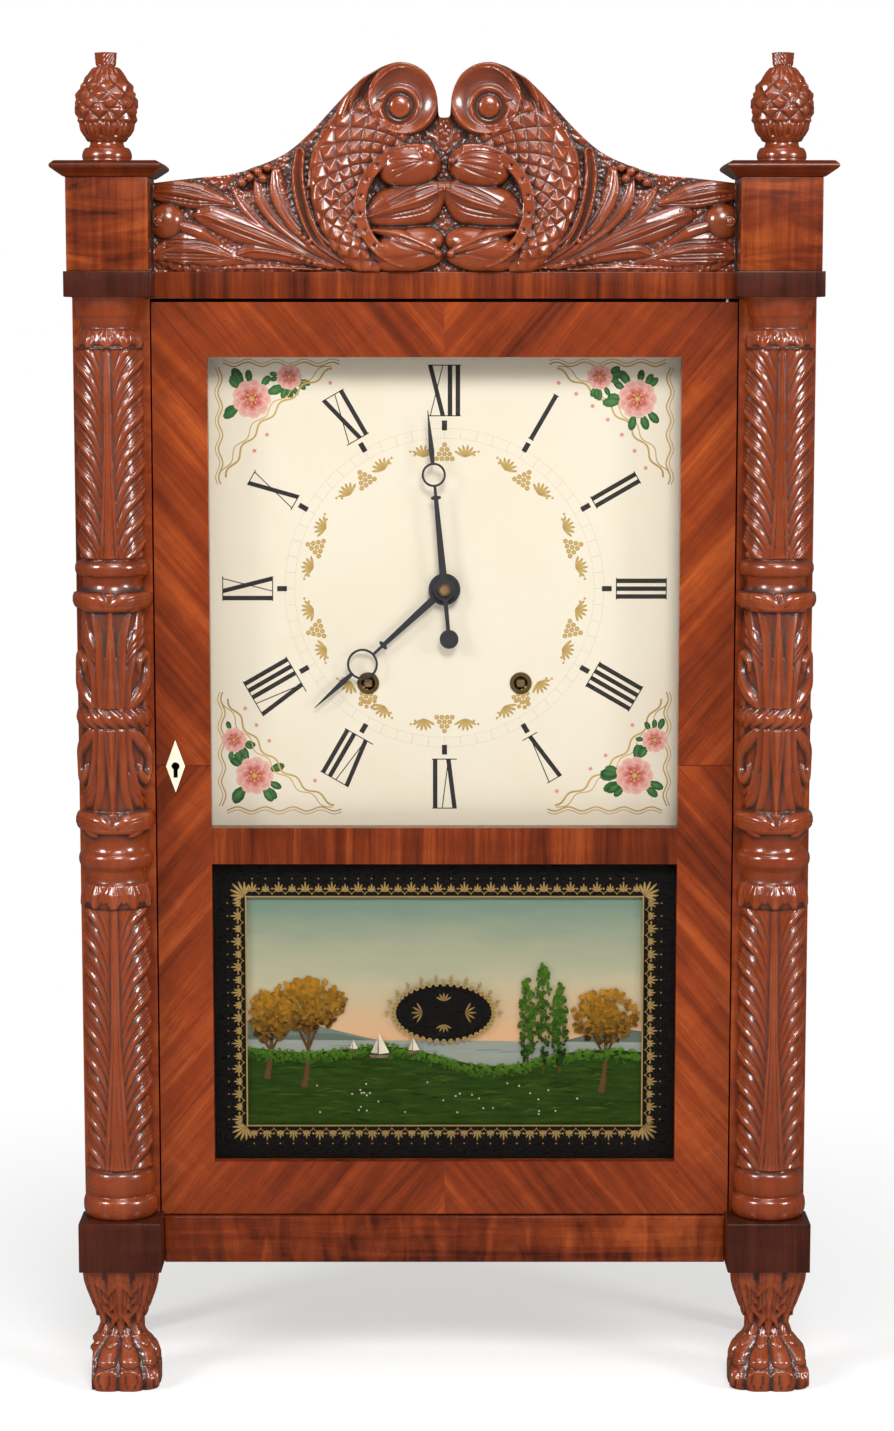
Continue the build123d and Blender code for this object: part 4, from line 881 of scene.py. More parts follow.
def carve_fruit(carving, side):
    """Fruit and a veined leaf that tumble out of the horn towards the middle."""

    def at(x, z):
        return (side * x, z)

    carving.domed(at(24.0, 840.0), (22.0, 15.5), 14.5, turn=side * -0.1, power=0.4)
    if side < 0:
        carving.domed(at(13.0, 848.0), (6.6, 6.6), 2.2, base=10.5, power=0.35)
        carving.domed(at(13.0, 848.0), (3.4, 3.4), 1.6, base=12.2, power=0.4)
        for lean in (-0.35, 0.1, 0.5):
            carving.grooved(
                (at(14, 843), at(24, 841 - 7 * lean), at(36, 838 - 14 * lean)), (0.4, 0.7, 0.5),
                (0.5, 1.1, 0.7),
            )
    else:
        for lean in (-0.9, -0.3, 0.3, 0.9):
            line = (at(4.5, 843), at(20, 842 + 7.5 * lean), at(38, 838 + 10 * lean))
            carving.grooved(line, (0.6, 0.9, 0.6), (0.6, 1.3, 0.8))
        carving.domed(at(4.8, 843.0), (2.6, 2.6), 3.0, base=10.0)
    leaf = (at(51, 806), at(36, 811), at(18, 816.5), at(1.6, 824))
    carving.raised(leaf, (6.0, 14.5, 16.5, 6.0), (9.5, 12.6, 12.2, 9.5), leaf_cut)
    for lift in (-9, -5.5, -2, 2, 5.5, 9):
        line = (
            at(48, 806.5 + lift * 0.15), at(32, 812 + lift * 0.7), at(14, 818 + lift),
            at(5, 822 + lift * 0.7),
        )
        carving.grooved(line, (0.4, 0.7, 0.6), (0.5, 1.0, 0.7))
    carving.domed(at(26.0, 786.0), (26.0, 13.0), 13.5, turn=side * -0.24, power=0.42)
    carving.domed(at(24.0, 778.0), (24.0, 9.0), 12.0, turn=side * -0.12, power=0.42)
    carving.raised(
        (at(48, 797), at(30, 793.5), at(12, 786), at(2.5, 781)), (2.0, 5.5, 6.0, 1.4),
        (9.5, 13.6, 13.6, 9.0), round_cut,
    )
    for lean in (-0.5, 0.5):
        carving.grooved(
            (at(46, 796), at(28, 789 + 5 * lean), at(5, 781 + 1.5 * lean)), (0.5, 0.9, 0.6), (0.8, 1.5, 0.8),
        )
    carving.domed(at(4.2, 781.5), (2.6, 2.6), 3.0, base=9.0)


def carve_spray(carving, side):
    """Long acanthus leaves, berries, a ball fruit and tulip leaves out to the corner."""

    def line(*points):
        return [(side * x, z) for x, z in points]

    cut = slant_cut if side < 0 else back_slant_cut
    carving.domed((side * 120.0, 796.0), (82.0, 30.0), 3.6, turn=side * -0.12, power=0.35)
    carving.raised(
        line((58, 773), (70, 779), (86, 792), (95, 812), (98.5, 832), (97, 849)),
        (2.0, 3.0, 4.6, 4.8, 4.6, 3.6), (5.0, 8.0, 9.5, 10.0, 9.5, 8.5), gouge_cut,
    )
    carving.raised(
        line((62, 773), (80, 786), (91, 806), (94, 826)), (1.4, 1.8, 2.0, 1.4), (4.0, 7.5, 8.0, 6.5),
        round_cut,
    )
    fingers = (
        ((64, 773), (86, 787), (102, 804), (111, 822), (113, 837)),
        ((68, 773), (92, 788), (110, 803), (121, 818), (125, 834)),
        ((72, 773), (98, 786), (118, 799), (131, 812), (140, 824)),
    )
    for order, path in enumerate(fingers):
        tall = 8.6 - order * 0.9
        carving.raised(line(*path), (2.2, 5.0, 6.8, 7.2, 3.6), (4.0, tall, tall, tall, tall - 1.6), cut)
        for offset in (-1.8, 1.4):
            vein = [(x + offset, z) for x, z in path[1:]]
            carving.grooved(line(*vein), (0.5, 0.7, 0.5), (0.5, 1.0, 0.5))
    carving.raised(
        line((80, 775), (108, 786), (138, 798), (158, 806), (167, 807.5)), (2.6, 7.0, 10.5, 9.5, 3.0),
        (5, 8.4, 9.2, 7.8, 5.4), leaf_cut,
    )
    for lift in (-4.2, -2.0, 2.0, 4.2):
        carving.grooved(
            line((94, 781), (124, 793 + lift * 0.7), (156, 804 + lift * 0.6)), (0.4, 0.7, 0.5),
            (0.3, 0.9, 0.4),
        )
    carving.raised(
        line((76, 773), (104, 780), (128, 783.5), (139, 781)), (2.4, 5.4, 6.8, 3.4), (4.5, 7.6, 8.0, 6.0),
        leaf_cut,
    )
    carving.raised(
        line((84, 771.5), (112, 773.5), (140, 773.5), (152, 772.5)), (1.4, 2.6, 2.8, 1.6),
        (3.5, 5.2, 5.2, 4.0), cut,
    )
    carving.raised(
        line((130, 776), (152, 781), (176, 786), (194, 781.5)), (3.4, 9.4, 12.6, 5.0), (4.5, 7.4, 8.2, 5.6),
        leaf_cut,
    )
    carving.raised(line((148, 786), (164, 795), (176, 799)), (2.0, 6.0, 5.4), (4.4, 6.8, 6.4), round_cut)
    for lift in (-7.5, -4.8, -2.2, 2.2, 4.8, 7.5):
        carving.grooved(
            line((140, 778.5), (160, 783 + lift * 0.8), (188, 784 + lift * 0.9)), (0.4, 0.7, 0.6),
            (0.3, 1.0, 0.7),
        )
    carving.raised(
        line((146, 815), (164, 819), (182, 822.5), (195, 823)), (3.4, 9.0, 9.8, 6.0), (5.4, 8.2, 7.8, 5.2),
        leaf_cut,
    )
    for lift in (-5, -2.5, 2.5, 5):
        carving.grooved(
            line((150, 816 + lift * 0.3), (170, 820 + lift), (192, 823 + lift * 0.8)), (0.4, 0.7, 0.5),
            (0.3, 0.9, 0.5),
        )
    carving.domed((side * 187.0, 803.0), (12.6, 12.6), 10.0, power=0.5)
    carving.domed((side * 192.0, 803.0), (3.6, 3.6), 2.2, base=8.6, power=0.4)
    carving.grooved(
        [(side * (192 + 2.4 * cos(a)), 803 + 2.4 * sin(a)) for a in np.linspace(0, tau, 9)], 0.5, 1.2,
    )
    for x, z in ((125, 836), (119, 839), (131, 832.5), (122, 831.5), (128, 838.5), (136, 829)):
        carving.domed((side * x, z), (3.1, 3.1), 3.6, base=5.4, power=0.5)
    for x, z in ((97.5, 795), (94.5, 792), (91, 789.5), (96, 778), (91.5, 776.5), (87, 775), (101, 779.5)):
        carving.domed((side * x, z), (1.9, 1.9), 2.4, base=6.4, power=0.5)


def carve_crest(across, levels):
    """The whole crest's relief."""
    carving = Carving(across, levels)
    for side in (-1, 1):
        carve_spray(carving, side)
        carve_horn(carving, side)
        carve_fruit(carving, side)
        carve_volute(carving, side)
    return carving


def crest_mesh():
    """Carved front, edges and plain back of the crest."""
    places, tops = crest_top_line()
    shares = np.linspace(0, 1, 236)
    even = np.arange(CASE_TOP, 909.0, 0.6)
    carving = carve_crest(places, even)
    random = np.random.default_rng(4)
    ground = random.normal(0, 1, carving.height.shape)
    ground = blurred(ground, 1) * 1.1
    carving.height += np.where(carving.height < 3.7, ground, 0)
    hollow, ridge = carving.hollows(4)
    levels = CASE_TOP + shares[None, :] * (tops[:, None] - CASE_TOP)
    height, dark, pale = (np.empty(levels.shape) for _ in range(3))
    for row in range(len(places)):
        height[row] = np.interp(levels[row], even, carving.height[row])
        dark[row] = np.interp(levels[row], even, hollow[row])
        pale[row] = np.interp(levels[row], even, ridge[row])
    limit = np.minimum(1.0, (tops[:, None] - levels) / 1.6 + 0.55)
    height = np.clip(height * limit, -0.6, 17.0)
    height[:, 0] = np.minimum(height[:, 0], 4.0)
    x = np.repeat(places[:, None], levels.shape[1], 1)
    front = np.stack([x, CREST_FRONT - height, levels], -1)
    back = np.stack([x, np.full(levels.shape, CREST_FRONT + CREST_THICK), levels], -1)
    rows, columns = levels.shape
    points = np.concatenate([front.reshape(-1, 3), back[:, [0, -1]].reshape(-1, 3)])
    quads = [grid_quads(rows, columns)]
    start = rows * columns
    top_front = np.arange(rows) * columns + columns - 1
    low_front = np.arange(rows) * columns
    low_back = start + np.arange(rows) * 2
    top_back = low_back + 1
    quads.append(np.stack([top_front[:-1], top_front[1:], top_back[1:], top_back[:-1]], -1))
    quads.append(np.stack([low_front[1:], low_front[:-1], low_back[:-1], low_back[1:]], -1))
    quads.append(np.stack([top_back[:-1], top_back[1:], low_back[1:], low_back[:-1]], -1))
    for row, flip in ((0, True), (rows - 1, False)):
        left = row * columns + np.arange(columns - 1)
        side = np.stack(
            [left, left + 1, np.full(columns - 1, top_back[row]), np.full(columns - 1, low_back[row])], -1,
        )
        quads.append(side[:, ::-1] if flip else side)
    extra = np.zeros(2 * rows)
    values = {
        "hollow": np.concatenate([dark.ravel(), extra]), "ridge": np.concatenate([pale.ravel(), extra]),
    }
    return mesh_from_arrays("crest_carving", points, np.concatenate(quads), values)


# Finials

FINIAL_FOOT, FINIAL_TIP = 842.0, 914.0
FINIAL_REACH = 21.2
FINIAL_TURNING = (
    (842.0, 843.4, 16.2, 17.0, 0.0),
    (843.4, 851.6, 15.4, 13.6, 2.0),
    (851.6, 855.4, 12.2, 11.2, -0.4),
    (855.4, 858.8, 12.6, 14.6, 0.4),
    (858.8, 877.0, 14.0, 19.2, 0.9),
    (877.0, 904.6, 19.2, 6.4, 3.6),
    (904.6, 914.0, 6.0, 6.8, 0.0),
)


def finial_mesh(name, side):
    """A carved pineapple with pointed leaves below and diamond scales above."""
    turns = np.linspace(0, tau, 168, endpoint=False)
    levels = np.append(np.arange(FINIAL_FOOT, FINIAL_TIP, 0.55), FINIAL_TIP)
    unroll = 18.0
    carving = Carving(turns * unroll, levels)
    body = carving.part(858.8, 904.6)
    lattice = scale_pattern(body.u / unroll / tau * 9.0, (body.v - 858.0) / 11.5)
    taper = unit((body.v - 861.0) / 6.0) * np.clip((906.0 - body.v) / 14.0, 0.35, 1)
    body.height[:] = 2.8 * unit(lattice) * taper
    for index in range(-1, 10):
        at = (index + 0.5) * tau * unroll / 9
        body.raised(((at, 858.0), (at, 863.0), (at, 870.0)), (4.6, 5.4, 0.8), (1.2, 2.4, 1.4), leaf_cut)
        for lean in (-1, 1):
            body.grooved(
                ((at + lean * 1.4, 858.5), (at + lean * 2.2, 863.0), (at + lean * 0.6, 868.0)), 0.6, 0.9,
            )
    for index in range(-1, 20):
        at = index * tau * unroll / 18
        body.raised(((at, 896.0), (at, 905.0)), (2.6, 1.8), (0.8, 1.2), leaf_cut)
    stub = carving.part(905.4, 914.1)
    stub.height[:] = 0.5 * np.cos(4 * stub.u / unroll) + 0.25 * np.sin(stub.v * 2.1 + stub.u)
    hollow, ridge = carving.hollows(3)
    radius = np.minimum(moulding_radius(FINIAL_TURNING, carving.v) + carving.height, FINIAL_REACH)
    turn = carving.u / unroll
    x = side * (COLUMN_X + radius * np.cos(turn))
    y = FINIAL_Y + radius * np.sin(turn)
    points = np.stack([x, y, carving.v], -1).reshape(-1, 3)
    rows, columns = carving.u.shape
    quads = grid_quads(rows, columns, wrap=True, flip=side > 0)
    top = len(points)
    points = np.vstack(
        [points, [(side * COLUMN_X, FINIAL_Y, FINIAL_TIP - 0.6), (side * COLUMN_X, FINIAL_Y, FINIAL_FOOT)]]
    )
    edge = np.arange(rows) * columns
    after = ((np.arange(rows) + 1) % rows) * columns
    values = {"hollow": np.append(hollow.ravel(), (0.3, 0)), "ridge": np.append(ridge.ravel(), (0, 0))}
    ends = ((columns - 1, top), (0, top + 1))
    caps = [(first + end, second + end, hub) for first, second in zip(edge, after) for end, hub in ends]
    return closed_mesh(mesh_from_arrays(name, points, quads, values), caps)


# Paw feet

PAW_SECTIONS = (
    (0.0, 26.0, -77.0, -31.0), (5.0, 27.0, -78.6, -30.0), (12.0, 26.0, -77.5, -29.5),
    (20.0, 23.4, -73.0, -29.5), (27.0, 19.0, -65.0, -31.0), (34.0, 15.6, -59.0, -32.5),
    (42.0, 15.4, -57.5, -33.0), (52.0, 17.4, -59.0, -33.0), (62.0, 20.6, -62.0, -32.5),
    (72.0, 23.6, -67.0, -31.5), (84.0, 25.4, -71.0, -31.0),
)


FOOT_HEIGHT = 84.0
SAWN_INSET = 8.5


def paw_mesh(name, side):
    """A hairy ankle under acanthus leaves, spreading into a clawed paw."""
    turns = np.linspace(-pi, pi, 150, endpoint=False)
    levels = np.append(np.arange(0.0, FOOT_HEIGHT, 0.62), FOOT_HEIGHT)
    unroll = 26.0
    carving = Carving(turns * unroll, levels)
    rows = np.array(PAW_SECTIONS)
    half = np.interp(carving.v, rows[:, 0], rows[:, 1])
    near = np.interp(carving.v, rows[:, 0], rows[:, 2])
    far = np.interp(carving.v, rows[:, 0], rows[:, 3])
    for at in (-43.0, -23.5, -7.5, 8.5, 24.5, 44.0):
        rise = 1.5 * sin(at)
        path = ((at * 0.6, 40), (at * 0.82, 32), (at, 24 + rise), (at, 15.5), (at, 8), (at, 0))
        carving.raised(path, (3.0, 5.4, 7.4, 6.6, 8.2, 7.8), (0.5, 3.0, 6.4, 3.2, 6.0, 3.4), round_cut)
        carving.raised(((at, 12.5), (at, 7.0), (at, 2.0)), (3.0, 2.4, 0.8), (6.4, 8.8, 8.0), round_cut)
        for lift in (15.5, 28.5):
            carving.grooved(((at - 5, lift + 0.8), (at, lift - 0.8), (at + 5, lift + 0.8)), 0.9, 1.2)
        for lean in (-1, 1):
            carving.grooved(((at + lean * 3.4, 11), (at + lean * 3.0, 6), (at + lean * 1.6, 1.5)), 0.6, 1.4)
    for index in range(44):
        at = -72 + index * 3.3
        sway = 1.6 * sin(index * 2.3)
        carving.grooved(
            ((at, 58 + sway), (at + sway, 44), (at * 0.96 - sway, 31)), (0.5, 0.8, 0.4), (0.3, 0.8, 0.4),
        )
    leaf = carving.part(30.0, FOOT_HEIGHT + 0.1)
    for at, foot, wide, tall in (
        (-58, 52, 9, 3.2), (-38, 47, 10, 3.6), (38, 47, 10, 3.6), (58, 52, 9, 3.2), (-20, 42, 10, 3.8),
        (20, 42, 10, 3.8), (0, 33, 9.5, 4.6), (78, 54, 9, 2.6), (-78, 54, 9, 2.6),
    ):
        leaf.raised(
            ((at, 86), (at * 0.97, (84 + foot) / 2), (at * 0.93, foot + 1)), (wide * 0.8, wide, 1.6),
            (2.4, tall, tall * 0.75), leaf_cut,
        )
        for lean in (-1, 1):
            for lift in (0.25, 0.5, 0.75):
                level = foot + (80 - foot) * lift
                path = (
                    (at * 0.96, level + 9), (at * 0.96 + lean * wide * 0.62, level + 3),
                    (at * 0.95 + lean * wide * 1.0, level - 3.5),
                )
                leaf.raised(
                    path, (2.6, 4.0, 1.6), (tall * 0.8, tall, tall * 0.9),
                    slant_cut if lean < 0 else back_slant_cut,
                )
        for offset in (-0.62, -0.3, 0.3, 0.62):
            leaf.grooved(
                (
                    (at + offset * wide, 84), (at * 0.97 + offset * wide * 0.9, (84 + foot) / 2),
                    (at * 0.94, foot + 4),
                ),
                (0.6, 0.8, 0.4), (0.8, 1.0, 0.3),
            )
    hollow, ridge = carving.hollows(3)
    turn = carving.u / unroll
    depth = (far - near) / 2
    ease = 1.0 / (np.abs(np.sin(turn)) ** 3.0 + np.abs(np.cos(turn)) ** 3.0) ** (1 / 3.0)
    x = (half * ease + carving.height * 0.8) * np.sin(turn)
    y = (near + far) / 2 - (depth * ease + carving.height) * np.cos(turn)
    y = np.clip(y, -79.7, -29.0)
    x = side * COLUMN_X + np.clip(x, -27.4, 27.4) * side
    if side < 0:
        lost = (carving.v < 31.0 + 0.22 * (y + 40.0))
        sawn = -COLUMN_X - 27.5 + SAWN_INSET
        x = np.where(lost, np.maximum(x, sawn), x)
        hollow = np.where(lost & (x < sawn + 0.1), 0.12, hollow)
    points = np.stack([x, y, carving.v], -1).reshape(-1, 3)
    count, columns = carving.u.shape
    mesh = mesh_from_arrays(
        name, points, grid_quads(count, columns, wrap=True, flip=side < 0),
        {"hollow": hollow, "ridge": ridge},
    )
    caps = [[row * columns + end for row in range(count)] for end in (0, columns - 1)]
    return closed_mesh(mesh, caps)


# Softened copies of square work


def softened(name, source, width, material, body, longest=8.0):
    """A copy of a CAD board with its long arrises eased."""
    work = bmesh.new()
    work.from_mesh(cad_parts[source].data)
    bmesh.ops.remove_doubles(work, verts=work.verts, dist=1e-6)
    bmesh.ops.dissolve_limit(work, angle_limit=radians(2), verts=work.verts, edges=work.edges)
    edges = [
        e for e in work.edges
        if len(e.link_faces) == 2 and e.calc_length() > longest * MM and e.calc_face_angle(0) > 0.3
    ]
    bmesh.ops.bevel(
        work, geom=edges, offset=width * MM, segments=3, profile=0.6, affect="EDGES", clamp_overlap=True,
    )
    for face in work.faces:
        face.material_index = 0
    mesh = bpy.data.meshes.new(name)
    work.to_mesh(mesh)
    work.free()
    piece = finish_mesh(name, mesh, material, body, (source,), smooth=False)
    mesh.shade_smooth()
    mesh.set_sharp_from_angle(angle=radians(40))
    return piece


# Flat painting


class Painting:
    """Flat painted shapes in the X-Z plane, each point with a tone."""

    def __init__(self):
        self.points, self.faces, self.tones, self.layers = [], [], [], []
        self.layer = 0

    def lift(self):
        """Lay the newest shape just over the ones before it."""
        self.layer += 1
        self.layers += [self.layer] * (len(self.points) - len(self.layers))

    def shape(self, outline, tone=0.5):
        start = len(self.points)
        self.points += [tuple(point) for point in outline]
        self.tones += [tone] * len(outline)
        self.faces.append(tuple(range(start, start + len(outline))))
        self.lift()

    def fan(self, centre, rim, inner, outer):
        start = len(self.points)
        self.points += [tuple(centre)] + [tuple(point) for point in rim]
        self.tones += [inner] + [outer] * len(rim)
        count = len(rim)
        self.faces += [(start, start + 1 + i, start + 1 + (i + 1) % count) for i in range(count)]
        self.lift()

    def ribbon(self, points, width, tone=0.5, steps=8):
        line = smooth_path(points, steps) if len(points) > 2 else np.asarray(points, float)
        widths = spread(width, np.linspace(0, 1, len(line)))
        ahead = np.gradient(line, axis=0)
        ahead /= np.maximum(np.linalg.norm(ahead, axis=1)[:, None], 1e-9)
        normal = np.stack([-ahead[:, 1], ahead[:, 0]], 1)
        left, right = line + normal * widths[:, None] / 2, line - normal * widths[:, None] / 2
        start = len(self.points)
        for one, other in zip(left, right):
            self.points += [tuple(one), tuple(other)]
        self.tones += list(np.repeat(spread(tone, np.linspace(0, 1, len(line))), 2))
        self.faces += [
            (start + 2 * i, start + 2 * i + 1, start + 2 * i + 3, start + 2 * i + 2)
            for i in range(len(line) - 1)
        ]
        self.lift()

    def oval(self, centre, radii, inner=0.5, outer=0.5, turn=0.0, count=14):
        rim = []
        for index in range(count):
            a = tau * index / count
            u, v = radii[0] * cos(a), radii[1] * sin(a)
            rim.append(
                (centre[0] + u * cos(turn) - v * sin(turn), centre[1] + u * sin(turn) + v * cos(turn))
            )
        self.fan(centre, rim, inner, outer)

    def petal(self, root, direction, length, width, inner, outer):
        shape = (
            (0.0, 0.0), (0.25, 0.3), (0.55, 0.5), (0.82, 0.42), (1.0, 0.16), (1.0, -0.16), (0.82, -0.42),
            (0.55, -0.5), (0.25, -0.3),
        )
        rim = []
        for along, across in shape:
            u, v = along * length, across * width
            rim.append(
                (
                    root[0] + u * cos(direction) - v * sin(direction),
                    root[1] + u * sin(direction) + v * cos(direction),
                )
            )
        middle = (root[0] + 0.5 * length * cos(direction), root[1] + 0.5 * length * sin(direction))
        self.fan(middle, rim, inner, outer)

    def piece(self, name, depth, material, body, slot, step=0.0001):
        """Make the painting a piece that faces the front; later shapes lie nearer."""
        mesh = bpy.data.meshes.new(name)
        points = [
            (x * MM, (depth - layer * step) * MM, z * MM) for (x, z), layer in zip(self.points, self.layers)
        ]
        mesh.from_pydata(points, [], self.faces)
        attribute = mesh.attributes.new("tone", "FLOAT", "POINT")
        attribute.data.foreach_set("value", np.asarray(self.tones, np.float32))
        work = bmesh.new()
        work.from_mesh(mesh)
        for face in work.faces:
            if face.normal.y > 0:
                face.normal_flip()
        work.to_mesh(mesh)
        work.free()
        return finish_mesh(name, mesh, material, body, smooth=False)


def dial_point(radius, clock, across=0.0):
    """A point on the dial's ring, moved sideways along the ring."""
    turn = radians(clock)
    return (
        DIAL_CENTRE[0] + radius * sin(turn) + across * cos(turn),
        DIAL_CENTRE[1] + radius * cos(turn) - across * sin(turn),
    )


NUMERALS = ("XII", "I", "II", "III", "IIII", "V", "VI", "VII", "VIII", "IX", "X", "XI")


def paint_numerals(low, high, stroke):
    """Radial Roman numerals with thick and hairline strokes."""
    black = Painting()
    hair = stroke * 0.22
    widths = {"I": stroke * 1.75, "V": stroke * 4.2, "X": stroke * 4.2}
    for hour, text in enumerate(NUMERALS):
        clock = hour * 30.0
        total = sum(widths[letter] for letter in text)
        place = -total / 2

        def bar(bottom, top, wide):
            corners = (
                dial_point(low, clock, bottom - wide / 2), dial_point(low, clock, bottom + wide / 2),
                dial_point(high, clock, top + wide / 2), dial_point(high, clock, top - wide / 2),
            )
            black.shape(corners, 0.5)

        for letter in text:
            middle = place + widths[letter] / 2
            reach = widths[letter] / 2 - stroke * 0.7
            if letter == "I":
                bar(middle, middle, stroke)
            elif letter == "V":
                bar(middle, middle - reach, stroke)
                bar(middle, middle + reach, hair)
            else:
                bar(middle + reach, middle - reach, stroke)
                bar(middle - reach, middle + reach, hair)
            place += widths[letter]
        for radius in (low, high):
            ends = (
                dial_point(radius, clock, -total / 2 + stroke * 0.2),
                dial_point(radius, clock, total / 2 - stroke * 0.2),
            )
            black.ribbon(ends, hair, 0.5)
        black.ribbon((dial_point(low - 10.0, clock), dial_point(low - 3.2, clock)), stroke * 1.15, 0.5)
    return black


def paint_minute_ring(radius):
    """A faint ring with minute ticks inside the numerals."""
    ring = Painting()
    for edge in (radius - 3.4, radius + 3.4):
        circle = [dial_point(edge, clock) for clock in np.linspace(0, 360, 181)]
        ring.ribbon(circle, 0.22, 0.5, 1)
    for minute in range(60):
        ring.ribbon(
            (dial_point(radius - 3.4, minute * 6.0), dial_point(radius + 3.4, minute * 6.0)), 0.3, 0.5,
        )
    return ring


def paint_gold_ring(radius):
    """Grape clusters and little fans in gold between the winding holes and the numerals."""
    gold = Painting()
    for index in range(10):
        clock = index * 36.0
        for row, count in enumerate((4, 3, 2, 1)):
            for slot in range(count):
                across = (slot - (count - 1) / 2) * 3.6
                gold.oval(
                    dial_point(radius - 4.4 + row * 3.2, clock, across), (1.7, 1.7), 0.95, 0.3, count=9,
                )
        for way in (-1, 1):
            for place, size in ((14.5, 8.6),):
                root = dial_point(radius - 3.5, clock, way * place)
                for lean in (-60, -36, -12, 12, 36, 60):
                    heading = pi / 2 - radians(clock + lean)
                    gold.petal(root, heading, size, 1.9, 0.9, 0.25)
            for place, level in ((20.5, -2.0), (23.5, 0.4)):
                gold.oval(dial_point(radius + level, clock, way * place), (0.9, 0.9), 0.8, 0.4, count=8)
    for offset in (-WINDING_X, WINDING_X):
        for x, z in ((-3.2, -12.5), (0.6, -13.6), (4.4, -12.8), (-1.2, -16.4), (2.8, -16.8)):
            gold.oval((offset + x, WINDING_Z + z), (1.5, 1.5), 0.7, 0.3, count=9)
    return gold


def paint_corners():
    """Spandrels: wavy gold edging, leaves and two roses in each corner."""
    gold, leaves, roses, hearts = Painting(), Painting(), Painting(), Painting()
    random = np.random.default_rng(11)
    for side in (-1, 1):
        for top in (-1, 1):

            def place(x, z):
                return (side * x, DIAL_CENTRE[1] + top * z)

            for inset, wide in ((155.5, 1.0), (157.6, 0.6)):
                for flip in (0, 1):
                    line = []
                    for share in np.linspace(0, 1, 26):
                        along = 72 + share * 80
                        sway = inset - 1.4 + 1.5 * sin(share * 26)
                        line.append(place(along, sway) if flip else place(sway, along))
                    gold.ribbon(line, wide, (0.35, 0.75, 0.4), 2)
            for radius, wide, phase in ((169.0, 1.3, 0.0), (172.4, 0.7, 1.2)):
                line = []
                for share in np.linspace(0, 1, 40):
                    angle = radians(27 + share * 36)
                    reach = radius + 1.7 * sin(share * 34 + phase)
                    line.append(place(reach * cos(angle), reach * sin(angle)))
                gold.ribbon(line, wide, (0.3, 0.8, 0.4), 2)
            big = (132.5, 130.5)
            small = (106.5, 145.5) if top > 0 else (146.5, 105.5)
            for centre, reach in ((big, 13.2), (small, 8.8)):
                for _ in range(13):
                    angle = random.uniform(0, tau)
                    root = (centre[0] + reach * 0.75 * cos(angle), centre[1] + reach * 0.75 * sin(angle))
                    length = random.uniform(0.75, 1.1) * reach
                    tip_x = root[0] + length * cos(angle)
                    tip_z = root[1] + length * sin(angle)
                    if max(tip_x, tip_z) > 153 or tip_x ** 2 + tip_z ** 2 < 166 ** 2:
                        continue
                    start, end = place(*root), place(tip_x, tip_z)
                    heading = atan2(end[1] - start[1], end[0] - start[0])
                    leaves.petal(
                        start, heading, length, length * 0.5, random.uniform(0.5, 0.9),
                        random.uniform(0.0, 0.3),
                    )
                    leaves.ribbon((start, end), (0.3, 0.2), 1.0)
                middle = place(*centre)
                for ring, count, share, tones in (
                    (1.0, 9, 0.0, (0.3, 1.0)), (0.72, 7, 0.4, (0.0, 0.85)), (0.46, 5, 0.2, (0.0, 0.4)),
                ):
                    for index in range(count):
                        angle = tau * (index + share) / count
                        length = reach * ring
                        roses.petal(middle, angle, length, length * 0.85, *tones)
                hearts.oval(middle, (reach * 0.16, reach * 0.16), 0.9, 0.4)
                for index in range(8):
                    angle = tau * index / 8
                    spot = (middle[0] + reach * 0.27 * cos(angle), middle[1] + reach * 0.27 * sin(angle))
                    hearts.oval(spot, (reach * 0.05, reach * 0.05), 1.0, 0.7, count=7)
            for index in range(7):
                share = index / 6
                angle = radians(31 + share * 30)
                bud = place(157 * cos(angle) * 1.03, 157 * sin(angle) * 1.03)
                if random.uniform() < 0.6:
                    roses.oval(bud, (1.5, 1.5), 0.3, 0.9, count=8)
    return gold, leaves, roses, hearts


TABLET = (-166.4, 166.4, 148.3, 370.3)
PICTURE = (-138.3, 138.3, 177.0, 340.0)
OVAL = (-0.5, 257.8, 35.0, 20.4)


